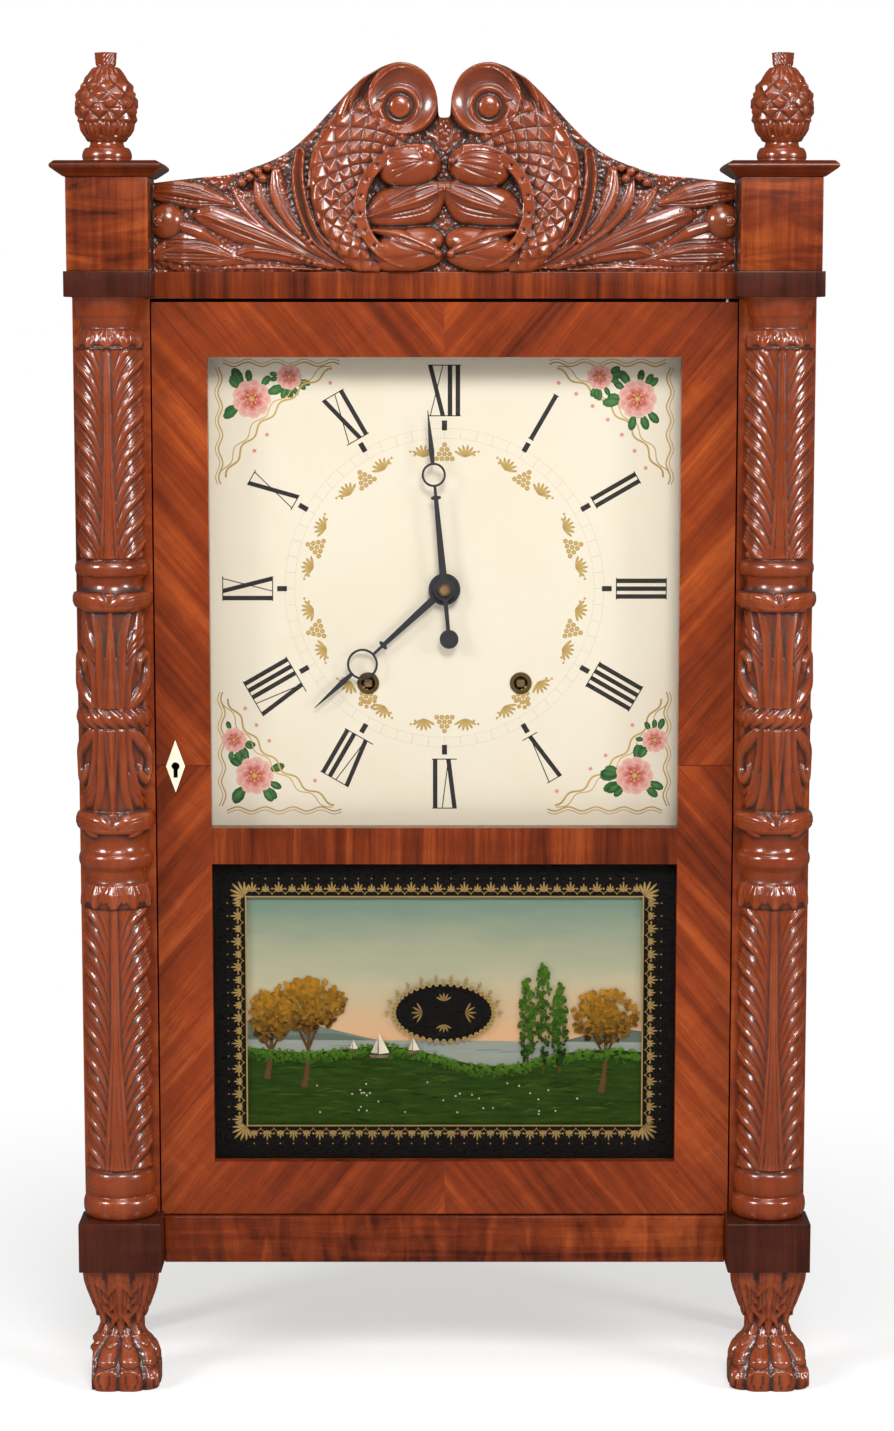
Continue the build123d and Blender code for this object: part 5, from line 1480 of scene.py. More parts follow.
def paint_tablet_border():
    """Gold edging round the picture: line, scallops, fans and drops, and the fringe of the oval."""
    gold = Painting()
    left, right, low, high = PICTURE
    corners = ((left, low), (right, low), (right, high), (left, high))
    for index in range(4):
        start, end = np.array(corners[index]), np.array(corners[(index + 1) % 4])
        length = np.linalg.norm(end - start)
        along = (end - start) / length
        out = np.array([along[1], -along[0]])
        gold.ribbon((start - along * 0.7, end + along * 0.7), 1.0, 0.6)
        count = round(length / 9.2)
        pitch = length / count
        for step in range(count):
            middle = start + along * (step + 0.5) * pitch
            arc = []
            for share in np.linspace(0, pi, 7):
                arc.append(middle + along * (-cos(share)) * pitch / 2 + out * (1.4 + 2.8 * sin(share)))
            gold.ribbon(arc, 0.45, 0.5, 3)
            heading = atan2(out[1], out[0])
            tall = 7.6 if step % 2 else 6.0
            for lean in (-50, -25, 0, 25, 50):
                reach = tall * (1 - abs(lean) / 130)
                gold.petal(middle + out * 3.2, heading + radians(lean), reach, 1.3, 0.9, 0.25)
            gold.oval(middle + out * 12.8, (0.6, 0.6), 0.6, 0.3, count=7)
            gold.oval(middle + out * 5.6 + along * pitch / 2, (0.8, 0.8), 0.7, 0.3, count=7)
        heading = atan2(out[1], out[0]) - pi / 4
        for lean in (-66, -44, -22, 0, 22, 44, 66):
            gold.petal(
                start + 1.0 * np.array([cos(heading), sin(heading)]), heading + radians(lean),
                12.0 - abs(lean) * 0.05, 1.8, 0.95, 0.3,
            )
    x, z, wide, tall = OVAL
    for index in range(44):
        angle = tau * index / 44
        rim = (x + wide * cos(angle), z + tall * sin(angle))
        gold.oval(rim, (1.7, 1.7), 0.2, 0.65, count=9)
        if sin(angle) > -0.25 and index % 2 == 0:
            heading = atan2(sin(angle) / tall, cos(angle) / wide)
            for lean in (-24, 0, 24):
                root = (rim[0] + 2.4 * cos(heading), rim[1] + 2.4 * sin(heading))
                gold.petal(root, heading + radians(lean), 4.6 - abs(lean) * 0.05, 1.0, 0.8, 0.3)
    for angle in (0, pi / 2, pi, 3 * pi / 2):
        root = (x + 0.42 * wide * cos(angle), z + 0.4 * tall * sin(angle))
        for lean in (-60, -30, 0, 30, 60):
            gold.petal(root, angle + radians(lean), 8.0 if abs(cos(angle)) > 0.5 else 6.0, 1.3, 0.55, 0.15)
    return gold


def leafy_mass(painting, random, centre, radii, dabs, size, tones):
    """A tree's crown or a bush, dabbed on from dark below to light above."""
    spots = []
    for _ in range(dabs):
        angle, reach = random.uniform(0, tau), random.uniform(0, 1) ** 0.6
        spots.append((centre[0] + radii[0] * reach * cos(angle), centre[1] + radii[1] * reach * sin(angle)))
    for x, z in spots:
        light = (z - centre[1]) / radii[1] * 0.35 + 0.5 + random.uniform(-0.25, 0.25)
        tone = tones[0] + (tones[1] - tones[0]) * min(max(light, 0), 1)
        grow = size * random.uniform(0.6, 1.3)
        painting.oval((x, z), (grow, grow * 0.7), tone, tone * 0.8, random.uniform(0, pi), 8)


def paint_landscape():
    """A lake between hills with sails, poplars and autumn trees; a made-up view."""
    random = np.random.default_rng(23)
    left, right, low, _ = PICTURE
    hills, water, meadow, trees, autumn, trunks, sails = (Painting() for _ in range(7))
    for base, swell, pitch, tone in ((243.0, 9.0, 62.0, 0.9), (237.0, 6.0, 41.0, 0.45)):
        crest = [
            (x, base + swell * sin(x / pitch + base) + 2.5 * sin(x / pitch * 2.7))
            for x in np.linspace(left, right, 60)
        ]
        hills.shape(crest + [(right, 226.0), (left, 226.0)], tone)
    water.shape(((left, 238.0), (right, 236.0), (right, 219.0), (left, 217.0)), 0.7)
    for _ in range(26):
        x, z = random.uniform(left + 14, right - 14), random.uniform(220, 234)
        water.ribbon(((x - 9, z), (x + 9, z + 0.3)), 0.5, random.uniform(0.1, 1.0))
    shore = [
        (x, 228.0 - 5.0 * sin(x / 46.0 + 0.6) - 4.0 * sin(x / 21.0)) for x in np.linspace(left, right, 60)
    ]
    meadow.shape([(left, low)] + [(right, low)] + shore[::-1], 0.32)
    for _ in range(150):
        x, z = random.uniform(left + 4, right - 22), random.uniform(low + 3, 219)
        length = random.uniform(6, 20)
        rise = random.uniform(-1.5, 1.5)
        line = ((x, z), (x + length / 2, z + rise + 1), (x + min(length, right - x - 2), z + rise))
        meadow.ribbon(line, (0.2, random.uniform(0.5, 1.4), 0.2), random.uniform(0.0, 1.0), 4)
    for index in range(58):
        x = left + 3 + index * (right - left - 6) / 57
        z = 225.0 - 5.0 * sin(x / 46.0 + 0.6) - 4.0 * sin(x / 21.0)
        leafy_mass(trees, random, (x, z), (4.6, 3.4 + 2.2 * abs(sin(index))), 16, 1.3, (0.25, 0.95))
    for x, tall in ((58.0, 62.0), (69.0, 74.0), (80.5, 58.0)):
        trunks.ribbon(((x, 214.0), (x + 0.4, 226.0)), (2.2, 1.4), 0.4)
        leafy_mass(trees, random, (x, 220.0 + tall / 2), (5.6, tall / 2), 150, 1.7, (0.0, 0.75))
    for x, foot, rise, wide, dabs in (
        (-96.0, 207.0, 48.0, 27.0, 420), (-122.0, 213.0, 34.0, 15.0, 210), (112.0, 203.0, 44.0, 23.0, 360),
    ):
        trunks.ribbon(((x - 2.5, foot - 3), (x, foot + 12), (x + 1.5, foot + rise)), (4.6, 3.0, 2.0), 0.5)
        for lean in (-1, 1):
            trunks.ribbon(
                (
                    (x + 0.6, foot + rise * 0.5), (x + lean * 7, foot + rise * 0.85),
                    (x + lean * 12, foot + rise * 1.2),
                ),
                (2.0, 1.3, 0.7), 0.4,
            )
        leafy_mass(autumn, random, (x, foot + rise + 8), (wide, 19.0), dabs, 2.2, (0.0, 1.0))
    for x, z, size in ((-46.0, 226.5, 1.0), (-22.0, 229.5, 0.62), (-64.0, 231.0, 0.45)):
        sails.shape(((x, z + 1.5 * size), (x + 7.5 * size, z + 2.5 * size), (x, z + 17 * size)), 0.95)
        sails.shape(
            (
                (x - 0.8 * size, z + 2 * size), (x - 5.5 * size, z + 2.6 * size),
                (x - 0.8 * size, z + 13 * size),
            ),
            0.7,
        )
        sails.shape(
            (
                (x - 7 * size, z + 1 * size), (x + 8 * size, z + 1 * size), (x + 5.5 * size, z - 1.2 * size),
                (x - 5 * size, z - 1.2 * size),
            ),
            0.1,
        )
    for _ in range(60):
        x, z = random.uniform(-92, 96), random.uniform(184, 208)
        if random.uniform() < 0.55:
            sails.oval((x, z), (0.7, 0.7), random.uniform(0.5, 1.0), 0.6, count=7)
    return hills, water, meadow, trees, autumn, trunks, sails


# Settings


def colour_setting(title, text, value):
    """A colour that a user can change."""
    return FloatVectorProperty(
        name=title, description=text, subtype="COLOR", size=3, min=0.0, max=1.0, default=value,
    )


def number_setting(title, text, value, low, high):
    """A number that a user can change between two limits."""
    return FloatProperty(name=title, description=text, default=value, min=low, max=high)


class CLOCK_PG_finish(bpy.types.PropertyGroup):
    """Colours of the wood and metal."""

    veneer_light: colour_setting(
        "Veneer light", "Brightest bands of the mahogany veneer", (0.33, 0.064, 0.01),
    )
    veneer_mid: colour_setting("Veneer", "Main tone of the mahogany veneer", (0.17, 0.0245, 0.0035))
    veneer_dark: colour_setting(
        "Veneer dark", "Darkest streaks of the mahogany veneer", (0.05, 0.0065, 0.0015),
    )
    # Also the lightest grain; laid on the ridges as rubbed wear and a painted highlight, and on dust in the
    # hollows.
    carving_pale: colour_setting("Carving rubbed", "Rubbed ridges of the carving", (0.3, 0.07, 0.022))
    carving_mid: colour_setting("Carving", "Main tone of the stained carving", (0.17, 0.027, 0.005))
    # Also the darkest grain; laid in the hollows as old stain and painted shade.
    carving_dark: colour_setting("Carving hollows", "Old stain in the hollows", (0.035, 0.007, 0.0025))
    block_dark: colour_setting("Blocks", "Dark plinth and frieze blocks", (0.042, 0.0085, 0.004))
    softwood: colour_setting("Softwood", "Unpolished inside boards", (0.36, 0.21, 0.1))
    brass: colour_setting("Brass", "Aged brass", (0.62, 0.42, 0.16))
    iron: colour_setting("Iron", "Dark iron of the hands", (0.035, 0.03, 0.03))


class CLOCK_PG_carving(bpy.types.PropertyGroup):
    """Sizes of the eased arrises."""

    arris: number_setting(
        "Eased arris", "Width of the worn arrises of boards, in millimetres", 0.7, 0.1, 2.0,
    )
    cap_arris: number_setting(
        "Cap arris", "Width of the rounded arrises of the caps, in millimetres", 1.1, 0.1, 3.0,
    )


class CLOCK_PG_dial(bpy.types.PropertyGroup):
    """Sizes and colours of the painted dial."""

    ground: colour_setting("Ground", "Ivory ground of the dial", (0.95, 0.86, 0.69))
    stain: colour_setting("Stain", "Yellowed patches of the dial", (0.88, 0.76, 0.56))
    gold: colour_setting("Gold", "Gold ornament", (0.6, 0.4, 0.13))
    numeral_foot: number_setting(
        "Numeral foot", "Radius at the foot of the numerals, in millimetres", 119.0, 90, 130,
    )
    numeral_head: number_setting(
        "Numeral head", "Radius at the head of the numerals, in millimetres", 153.5, 131, 160,
    )
    stroke: number_setting("Stroke", "Width of a thick stroke, in millimetres", 3.1, 1.0, 5.0)


class CLOCK_PG_stage(bpy.types.PropertyGroup):
    """Camera and lamps."""

    lens: FloatProperty(
        name="Lens", description="Focal length", default=84.8, min=20, max=200, unit="CAMERA",
    )
    pitch: FloatProperty(
        name="Pitch", description="Downward tilt of the camera", default=radians(7.93), subtype="ANGLE",
    )
    rise: number_setting("Frame shift", "Upward shift of the frame", 0.05, -0.2, 0.2)
    lamp: number_setting("Lamp strength", "Share of the lamps' plain level", 1.0, 0.1, 3.0)
    floor_steps: IntProperty(
        name="Floor steps", description="Divisions of the floor", default=1, min=1, max=4,
    )


def settings():
    """The scene's clock settings."""
    scene = bpy.context.scene
    return scene.clock_finish, scene.clock_carving, scene.clock_dial, scene.clock_stage


def material_named(name):
    """A material that an earlier step made."""
    found = bpy.data.materials.get(name)
    if found is None:
        raise RuntimeError("the finishes have to be made first: no material named " + name)
    return found


def dress(nodes, material):
    """Give CAD nodes a material."""
    for name in nodes:
        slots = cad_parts[name].data.materials
        slots.clear()
        slots.append(material)
        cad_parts[name].data.polygons.foreach_set(
            "material_index", [0] * len(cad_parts[name].data.polygons),
        )


# Steps


class CLOCK_OT_finishes(bpy.types.Operator):
    """Build the shared effects and every finish"""

    bl_idname = "clock.finishes"
    bl_label = "Make finishes"

    def execute(self, context):
        build_wood_figure()
        build_door_quarters()
        build_carved_stain_and_shade()
        build_metal_age()
        build_paint_age()
        finish, _, dial, _ = settings()
        veneer = (finish.veneer_light, finish.veneer_mid, finish.veneer_dark)
        upright = (0.0, radians(90), 0.0)
        wood_material("veneer_upright", veneer, upright, 0.4)
        wood_material("cap_wood", [[0.62 * c for c in tone] for tone in veneer], (0, 0, 0), 0.3, coat=0.3)
        wood_material("die_wood", [[0.76 * c for c in tone] for tone in veneer], upright, 0.8, coat=0.3)
        wood_material("veneer_level", [[0.78 * c for c in tone] for tone in veneer], (0, 0, 0), 0.6)
        wood_material("veneer_quartered", veneer, ripple=0.1, quarters=(DOOR_MIDDLE, radians(50)))
        banded = (
            [0.86 * c for c in finish.veneer_light], [0.72 * c for c in finish.veneer_mid],
            [0.5 * c for c in finish.veneer_dark],
        )
        wood_material("veneer_crossband", banded, upright, 0.1, 0.6)
        block = finish.block_dark
        dark = ([1.6 * c for c in block], block, [0.35 * c for c in block])
        wood_material("block_veneer", dark, upright, 0.3)
        soft = finish.softwood
        plain = ([1.25 * c for c in soft], soft, [0.45 * c for c in soft])
        wood_material("softwood_upright", plain, upright, 0.1, 0.3, 0.5, 0.0)
        wood_material("softwood_level", plain, (0, 0, 0), 0.1, 0.3, 0.5, 0.0)
        wood_material(
            "wheel_wood", ([c * 1.1 for c in soft], [c * 0.7 for c in soft], [c * 0.3 for c in soft]),
            upright, 0.2, 0.4, 0.4, 0.1,
        )
        carving = (finish.carving_pale, finish.carving_mid, finish.carving_dark)
        carved_material("carved_upright", carving, upright)
        carved_material("carved_level", carving, (0, 0, 0))
        brass = finish.brass
        metal_material("old_brass", brass, [0.3 * c for c in brass], 0.8)
        metal_material("dark_iron", finish.iron, (0.05, 0.025, 0.015), 0.5, 0.6)
        metal_material("steel", (0.5, 0.49, 0.47), (0.22, 0.17, 0.13), 0.7)
        metal_material("cast_weight", (0.06, 0.058, 0.056), (0.1, 0.05, 0.03), 0.9, 0.5)
        glass_material("window_glass")
        self.make_dial_ground(dial)
        paint_material("bone", (0.72, 0.62, 0.46), (0.9, 0.84, 0.7), 0.3, 0.5, 0.3)
        return {"FINISHED"}

    def make_dial_ground(self, dial):
        _, tree, shader = new_material("dial_ground", coat_weight=0.15, coat_roughness=0.2)
        outputs = use_group(
            tree, "paint_age",
            {
                "Vector": object_vector(tree), "Color": rgba(dial.ground), "Stain": rgba(dial.stain),
                "Crack": 0.5,
            },
        )
        attach(tree, shader, outputs, 0.00004)


class CLOCK_OT_case(bpy.types.Operator):
    """Veneer the case and its door, with eased arrises on the square work"""

    bl_idname = "clock.case"
    bl_label = "Finish the case"

    def execute(self, context):
        _, carving, _, _ = settings()
        upright, level = material_named("veneer_upright"), material_named("veneer_level")
        dark, band = material_named("block_veneer"), material_named("veneer_crossband")
        softened("die_blocks", "corner_dies", carving.arris, material_named("die_wood"), "case")
        softened("cap_slabs", "die_caps", carving.cap_arris, material_named("cap_wood"), "case")
        softened("frieze_block_pair", "frieze_blocks", carving.arris, dark, "case")
        softened("plinth_block_pair", "plinth_blocks", carving.arris, dark, "case")
        softened("rail_over_door", "top_rail", 0.5, band, "case")
        softened("rail_under_door", "bottom_rail", 1.2, level, "case", 20.0)
        softened("stile_pair", "stile_boards", 0.4, upright, "case")
        softened("side_pair", "case_sides", 0.6, upright, "case")
        dress(
            ("door_stile_left", "door_stile_right", "door_top_rail", "door_bottom_rail"),
            material_named("veneer_quartered"),
        )
        dress(("door_mid_rail",), band)
        dress(("dial_glass", "tablet_glass"), material_named("window_glass"))
        dress(("door_pivot_pins", "lock_bolt"), material_named("steel"))
        dress(("door_lock",), material_named("dark_iron"))
        dress(
            ("back_board", "rear_feet", "mounting_rails", "glazing_beads"),
            material_named("softwood_upright"),
        )
        dress(("case_bottom_board", "case_top_board"), material_named("softwood_level"))
        return {"FINISHED"}


class CLOCK_OT_columns(bpy.types.Operator):
    """Carve the two half columns"""

    bl_idname = "clock.columns"
    bl_label = "Carve columns"

    def execute(self, context):
        carving = carve_column()
        material = material_named("carved_upright")
        for side, hand in ((-1, "left"), (1, "right")):
            mesh = column_mesh("column_carving_" + hand, side, carving)
            finish_mesh(
                "column_carving_" + hand, mesh, material, "case", ("half_column_" + hand,),
            )
        return {"FINISHED"}


class CLOCK_OT_crest(bpy.types.Operator):
    """Carve the crest"""

    bl_idname = "clock.crest"
    bl_label = "Carve crest"

    def execute(self, context):
        finish_mesh(
            "crest_carving", crest_mesh(), material_named("carved_level"), "case", ("crest",),
        )
        return {"FINISHED"}


class CLOCK_OT_finials(bpy.types.Operator):
    """Carve the pineapple finials"""

    bl_idname = "clock.finials"
    bl_label = "Carve finials"

    def execute(self, context):
        for side, hand in ((-1, "left"), (1, "right")):
            name = "finial_" + hand
            covers = ("finials",) if side < 0 else ()
            finish_mesh(
                name, finial_mesh(name, side), material_named("carved_upright"), "case",
                covers,
            )
        return {"FINISHED"}


class CLOCK_OT_feet(bpy.types.Operator):
    """Carve the paw feet"""

    bl_idname = "clock.feet"
    bl_label = "Carve feet"

    def execute(self, context):
        for side, hand in ((-1, "left"), (1, "right")):
            name = "paw_foot_" + hand
            covers = ("front_feet",) if side < 0 else ()
            finish_mesh(
                name, paw_mesh(name, side), material_named("carved_upright"), "case", covers,
            )
        return {"FINISHED"}


class CLOCK_OT_dial(bpy.types.Operator):
    """Paint the dial"""

    bl_idname = "clock.dial"
    bl_label = "Paint dial"

    def execute(self, context):
        _, _, dial, _ = settings()
        dress(("dial_board",), material_named("dial_ground"))
        dress(("winding_hole_rings", "hand_collet"), material_named("old_brass"))
        dress(("hour_hand", "minute_hand"), material_named("dark_iron"))
        black = paint_material("numeral_black", (0.012, 0.011, 0.01), (0.07, 0.065, 0.06), 0.5, 0.9)
        faint = paint_material("faint_line", (0.62, 0.53, 0.38), (0.8, 0.7, 0.53), 0.5, 0.8)
        gold = paint_material(
            "dial_gold", [0.6 * c for c in dial.gold], [min(1.25 * c, 1.0) for c in dial.gold], 0.42, 0.4,
        )
        green = paint_material("leaf_green", (0.01, 0.07, 0.025), (0.13, 0.32, 0.09), 0.45, 0.4)
        pink = paint_material("rose_pink", (0.55, 0.025, 0.02), (0.92, 0.55, 0.46), 0.45, 0.4)
        heart = paint_material("rose_heart", (0.35, 0.05, 0.02), (0.85, 0.62, 0.2), 0.45, 0.3)
        numerals = paint_numerals(dial.numeral_foot, dial.numeral_head, dial.stroke)
        numerals.piece("dial_numerals", DIAL_FACE - 0.08, black, "case", "dial_paint")
        paint_minute_ring(dial.numeral_foot - 12.0).piece(
            "dial_minute_ring", DIAL_FACE - 0.05, faint, "case", "dial_paint",
        )
        paint_gold_ring(94.0).piece("dial_gold_ring", DIAL_FACE - 0.06, gold, "case", "dial_paint")
        edging, leaves, roses, hearts = paint_corners()
        edging.piece("dial_corner_edging", DIAL_FACE - 0.05, gold, "case", "dial_paint")
        leaves.piece("dial_corner_leaves", DIAL_FACE - 0.03, green, "case", "dial_paint", 0.0003)
        roses.piece("dial_corner_roses", DIAL_FACE - 0.1, pink, "case", "dial_paint", 0.0015)
        hearts.piece("dial_rose_hearts", DIAL_FACE - 0.5, heart, "case", "dial_paint", 0.001)
        return {"FINISHED"}


class CLOCK_OT_tablet(bpy.types.Operator):
    """Paint the glass tablet from behind"""

    bl_idname = "clock.tablet"
    bl_label = "Paint tablet"

    def execute(self, context):
        left, right, low, high = PICTURE
        black = paint_material("tablet_black", (0.004, 0.003, 0.003), (0.012, 0.01, 0.008), 0.3, 0.4)
        gold = paint_material("tablet_gold", (0.16, 0.09, 0.025), (0.55, 0.37, 0.12), 0.4, 0.5)
        colours = {
            "hills": ((0.07, 0.12, 0.07), (0.2, 0.23, 0.2)),
            "water": ((0.1, 0.17, 0.17), (0.42, 0.42, 0.34)),
            "meadow": ((0.002, 0.024, 0.001), (0.07, 0.13, 0.006)),
            "trees": ((0.003, 0.022, 0.002), (0.11, 0.26, 0.01)),
            "autumn": ((0.04, 0.014, 0.002), (0.55, 0.25, 0.012)),
            "trunks": ((0.03, 0.012, 0.004), (0.22, 0.1, 0.03)),
            "sails": ((0.12, 0.05, 0.02), (0.86, 0.76, 0.58)),
        }
        back = Painting()
        back.shape(((left, low), (right, low), (right, high), (left, high)), 0.5)
        back.piece("tablet_sky", TABLET_BACK + 3.6, self.sky_material(high), "door", "painted_glass")
        border = Painting()
        edge_left, edge_right, foot, head = TABLET
        bands = (
            (edge_left, left, foot, head), (right, edge_right, foot, head), (left, right, foot, low),
            (left, right, high, head),
        )
        for x0, x1, z0, z1 in bands:
            border.shape(((x0, z0), (x1, z0), (x1, z1), (x0, z1)), 0.5)
        border.oval(OVAL[:2], OVAL[2:], 0.5, 0.5, count=48)
        border.piece("tablet_border", TABLET_BACK + 0.1, black, "door", "painted_glass")
        paint_tablet_border().piece("tablet_gold_work", TABLET_BACK + 0.04, gold, "door", "painted_glass")
        depths = (3.4, 3.2, 3.0, 2.5, 2.5, 2.65, 0.8)
        scenery = zip(colours.items(), paint_landscape(), depths)
        for (name, (dark, light)), painting, depth in scenery:
            streaks = 0.9 if name == "meadow" else 0.4
            scale = (60.0, 60.0, 420.0) if name in ("meadow", "water") else (300.0, 300.0, 300.0)
            material = paint_material("tablet_" + name, dark, light, 0.4, streaks, 0.0, scale)
            painting.piece("tablet_" + name, TABLET_BACK + depth, material, "door", "painted_glass", 0.0012)
        return {"FINISHED"}

    def sky_material(self, high):
        material, tree, shader = new_material("tablet_sky", specular_ior_level=0.12)
        vector = object_vector(tree)
        parts = node(tree, "ShaderNodeSeparateXYZ", {0: vector}).outputs
        wisps = noise(tree, stretched(tree, vector, (14.0, 14.0, 55.0)), 1.0, 4.0, 0.6)
        level = rescale(tree, parts[2], 0.236, high * MM)
        share = reckon(
            tree, "ADD", level, times(tree, reckon(tree, "SUBTRACT", wisps, 0.5), 0.3), clamp=True,
        )
        peach, haze, upper = (0.78, 0.45, 0.23, 1), (0.55, 0.5, 0.32, 1), (0.21, 0.3, 0.22, 1)
        colour = mix_colours(tree, rescale(tree, share, 0.0, 0.45), peach, haze)
        colour = mix_colours(tree, rescale(tree, share, 0.4, 0.95), colour, upper)
        tree.links.new(colour, shader.inputs["Base Color"])
        tree.links.new(rescale(tree, wisps, 0.3, 0.7, 0.34, 0.46), shader.inputs["Roughness"])
        return material


class CLOCK_OT_works(bpy.types.Operator):
    """Finish the movement, bell, weights and escutcheon"""

    bl_idname = "clock.works"
    bl_label = "Finish the works"

    def execute(self, context):
        wood = (
            "movement_plates", "plate_pillars", "centre_wheel", "count_wheel", "fly", "hour_wheel",
            "minute_wheel", "pin_wheel", "second_wheel", "strike_drum", "strike_great_wheel",
            "strike_pulley", "third_wheel", "time_drum", "time_great_wheel", "time_pulley",
        )
        dress(wood, material_named("wheel_wood"))
        dress(("bell", "escape_wheel", "pendulum"), material_named("old_brass"))
        dress(("hammer", "verge"), material_named("steel"))
        dress(("time_weight", "strike_weight"), material_named("cast_weight"))
        dress(("keyhole_escutcheon",), material_named("bone"))
        return {"FINISHED"}


class CLOCK_OT_cords(bpy.types.Operator):
    """Lay the twisted weight cords over their pulleys"""

    bl_idname = "clock.cords"
    bl_label = "Lay cords"

    def execute(self, context):
        material, tree, shader = new_material("cotton_cord", roughness=0.8, sheen_weight=0.3)
        fibre = noise(tree, stretched(tree, object_vector(tree), (900.0, 900.0, 900.0)), 1.0, 3.0, 0.6)
        colour = mix_colours(tree, fibre, (0.24, 0.17, 0.09, 1), (0.5, 0.41, 0.27, 1))
        tree.links.new(colour, shader.inputs["Base Color"])
        for side, label in ((-1, "time"), (1, "strike")):
            low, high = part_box(label + "_cord")
            fall_x = (low.x + 1.25 * MM) if side < 0 else (high.x - 1.25 * MM)
            self.lay(label, side, fall_x / MM, low.z / MM, high.z / MM, material)
        return {"FINISHED"}

    def lay(self, label, side, fall_x, foot, top, material):
        cord_y = 46.0
        pulley_radius = 15.55
        pulley = (fall_x - side * pulley_radius, top - pulley_radius - 1.25)
        drum = (side * WINDING_X, WINDING_Z)
        drum_radius = 16.55
        gap_x, gap_z = side * (pulley[0] - drum[0]), pulley[1] - drum[1]
        span = (gap_x ** 2 + gap_z ** 2) ** 0.5
        run = atan2(gap_z, gap_x) + np.arcsin((drum_radius + pulley_radius) / span)
        start = (drum[0] + side * drum_radius * sin(run), drum[1] - drum_radius * cos(run))
        route = []
        for share in np.linspace(0, 1, 60):
            end = (pulley[0] - side * pulley_radius * sin(run), pulley[1] + pulley_radius * cos(run))
            route.append((start[0] + share * (end[0] - start[0]), start[1] + share * (end[1] - start[1])))
        first = run + pi / 2
        for turn in np.linspace(first, 0, 14)[1:]:
            route.append(
                (pulley[0] + side * pulley_radius * cos(turn), pulley[1] + pulley_radius * sin(turn))
            )
        upper = [(x, cord_y, z) for x, z in route]
        fall = [(fall_x, cord_y, z) for z in np.linspace(pulley[1], foot, 120)]
        piece = self.twisted(label + "_cord_run", upper, material)
        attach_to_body(piece, "case")
        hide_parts(label + "_cord")
        piece = self.twisted(label + "_cord_fall", fall, material)
        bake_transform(piece)

    def twisted(self, name, route, material):
        """Two strands laid round each other."""
        route = np.asarray(route, float)
        ahead = np.gradient(route, axis=0)
        ahead /= np.linalg.norm(ahead, axis=1)[:, None]
        side = np.cross(ahead, (0.0, 1.0, 0.0))
        side /= np.linalg.norm(side, axis=1)[:, None]
        lift = np.cross(side, ahead)
        travelled = np.concatenate([[0], np.cumsum(np.linalg.norm(np.diff(route, axis=0), axis=1))])
        count = max(int(travelled[-1] / 0.9), 8)
        even = np.linspace(0, travelled[-1], count)
        centre, side, lift = (
            np.stack([np.interp(even, travelled, part[:, axis]) for axis in range(3)], 1)
            for part in (route, side, lift)
        )
        points, quads = [], []
        for strand in (0.0, pi):
            twist = even / 6.0 * tau + strand
            middle = centre + 0.55 * (np.cos(twist)[:, None] * side + np.sin(twist)[:, None] * lift)
            start = sum(len(block) for block in points)
            ring = []
            for corner in range(7):
                angle = tau * corner / 7
                ring.append(middle + 0.66 * (cos(angle) * side + sin(angle) * lift))
            points.append(np.stack(ring, 0).reshape(-1, 3))
            quads.append(grid_quads(7, count, wrap=True, start=start))
        mesh = mesh_from_arrays(name, np.concatenate(points), np.concatenate(quads))
        mesh.shade_smooth()
        mesh.materials.append(material)
        piece = bpy.data.objects.new(name, mesh)
        bpy.context.scene.collection.objects.link(piece)
        return piece


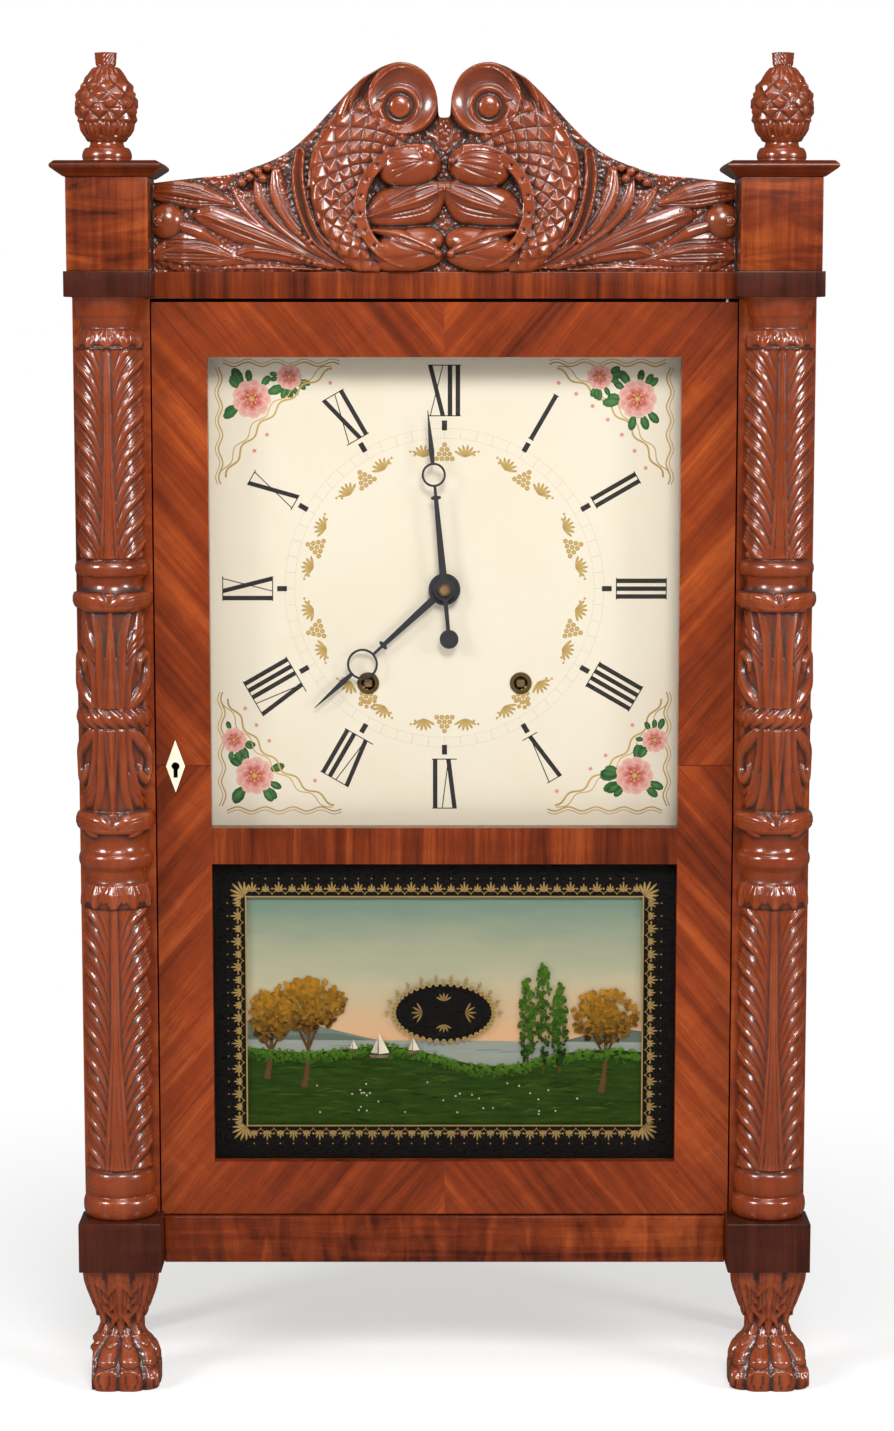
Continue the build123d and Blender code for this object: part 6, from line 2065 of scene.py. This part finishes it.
class CLOCK_OT_stage(bpy.types.Operator):
    """Set the camera, lamps, pale floor and world"""

    bl_idname = "clock.stage"
    bl_label = "Set stage"

    def execute(self, context):
        _, _, _, stage = settings()
        scene = context.scene
        scene.view_settings.view_transform = "Standard"
        camera = bpy.data.objects.new("photo_camera", bpy.data.cameras.new("photo_camera"))
        scene.collection.objects.link(camera)
        camera.location = (0.00175, -2.34, 0.7389)
        camera.rotation_euler = (radians(90) - stage.pitch, 0.0, 0.0)
        camera.data.lens = stage.lens
        camera.data.sensor_width = 36.0
        camera.data.shift_y = stage.rise
        camera.data.clip_start = 0.05
        scene.camera = camera
        self.lamp("lamp_left", (-2.3, -1.9, 1.7), (-0.1, 0.0, 0.55), 0.9, 56.0 * stage.lamp)
        self.lamp("lamp_right", (2.4, -1.7, 1.4), (0.1, 0.0, 0.5), 0.8, 44.0 * stage.lamp)
        self.lamp("lamp_top", (0.0, -0.9, 2.6), (0.0, 0.0, 0.5), 1.2, 12.0 * stage.lamp)
        self.lamp("lamp_front", (0.3, -2.3, 2.1), (0.0, 0.0, 0.5), 1.0, 50.0 * stage.lamp)
        world = bpy.data.worlds.new("studio")
        scene.world = world
        world.use_nodes = True
        tree = world.node_tree
        backdrop = tree.nodes["Background"]
        path = node(tree, "ShaderNodeLightPath").outputs
        fill = rescale(tree, path["Is Glossy Ray"], 0.0, 1.0, 0.38, 0.1)
        tree.links.new(reckon(tree, "MAXIMUM", path["Is Camera Ray"], fill), backdrop.inputs["Strength"])
        backdrop.inputs["Color"].default_value = (1.0, 1.0, 1.0, 1.0)
        self.floor(stage)
        return {"FINISHED"}

    def lamp(self, name, place, aim, size, power):
        data = bpy.data.lights.new(name, "AREA")
        data.shape = "DISK"
        data.size = size
        data.energy = power
        lamp = bpy.data.objects.new(name, data)
        bpy.context.scene.collection.objects.link(lamp)
        lamp.location = place
        lamp.rotation_euler = (Vector(aim) - Vector(place)).to_track_quat("-Z", "Y").to_euler()

    def floor(self, stage):
        work = bmesh.new()
        bmesh.ops.create_grid(work, x_segments=stage.floor_steps, y_segments=stage.floor_steps, size=6.0)
        mesh = bpy.data.meshes.new("floor")
        work.to_mesh(mesh)
        work.free()
        floor = bpy.data.objects.new("floor", mesh)
        bpy.context.scene.collection.objects.link(floor)
        material, tree, shader = new_material(
            "pale_floor", base_color=(0.93, 0.93, 0.93, 1.0), roughness=0.6,
        )
        vector = object_vector(tree)
        away = node(tree, "ShaderNodeVectorMath", {0: vector}, operation="LENGTH").outputs["Value"]
        path = node(tree, "ShaderNodeLightPath").outputs
        seen = times(tree, path["Is Camera Ray"], rescale(tree, away, 0.3, 0.85, 0.5, 1.0))
        glow = node(tree, "ShaderNodeEmission", {"Color": (1, 1, 1, 1), "Strength": 1.0}).outputs[0]
        dim = node(tree, "ShaderNodeBsdfDiffuse", {"Color": (0.1, 0.095, 0.09, 1)}).outputs[0]
        plain = node(
            tree, "ShaderNodeMixShader", {0: path["Is Glossy Ray"], 1: shader.outputs[0], 2: dim},
        ).outputs[0]
        mixed = node(tree, "ShaderNodeMixShader", {0: seen, 1: plain, 2: glow}).outputs[0]
        tree.links.new(mixed, tree.nodes["Material Output"].inputs["Surface"])
        mesh.materials.append(material)


STEPS = (
    CLOCK_OT_finishes, CLOCK_OT_case, CLOCK_OT_columns, CLOCK_OT_crest, CLOCK_OT_finials, CLOCK_OT_feet,
    CLOCK_OT_dial, CLOCK_OT_tablet, CLOCK_OT_works, CLOCK_OT_cords, CLOCK_OT_stage,
)


class CLOCK_PT_panel(bpy.types.Panel):
    """Lists the steps that dress the clock"""

    bl_idname = "CLOCK_PT_panel"
    bl_label = "Shelf Clock"
    bl_space_type = "VIEW_3D"
    bl_region_type = "UI"
    bl_category = "Shelf Clock"

    def draw(self, context):
        for step in STEPS:
            self.layout.operator(step.bl_idname)
        for group in (
            context.scene.clock_finish, context.scene.clock_carving, context.scene.clock_dial,
            context.scene.clock_stage,
        ):
            box = self.layout.box()
            for key in group.__annotations__:
                box.prop(group, key)


GROUPS = (
    ("clock_finish", CLOCK_PG_finish), ("clock_carving", CLOCK_PG_carving), ("clock_dial", CLOCK_PG_dial),
    ("clock_stage", CLOCK_PG_stage),
)


def register():
    for key, group in GROUPS:
        bpy.utils.register_class(group)
        setattr(bpy.types.Scene, key, PointerProperty(type=group))
    for step in STEPS:
        bpy.utils.register_class(step)
    bpy.utils.register_class(CLOCK_PT_panel)


def unregister():
    bpy.utils.unregister_class(CLOCK_PT_panel)
    for step in reversed(STEPS):
        bpy.utils.unregister_class(step)
    for key, group in reversed(GROUPS):
        delattr(bpy.types.Scene, key)
        bpy.utils.unregister_class(group)


def main():
    """Dress the clock step by step."""
    register()
    for step in STEPS:
        section, name = step.bl_idname.split(".")
        getattr(getattr(bpy.ops, section), name)()


if __name__ == "__main__":
    main()
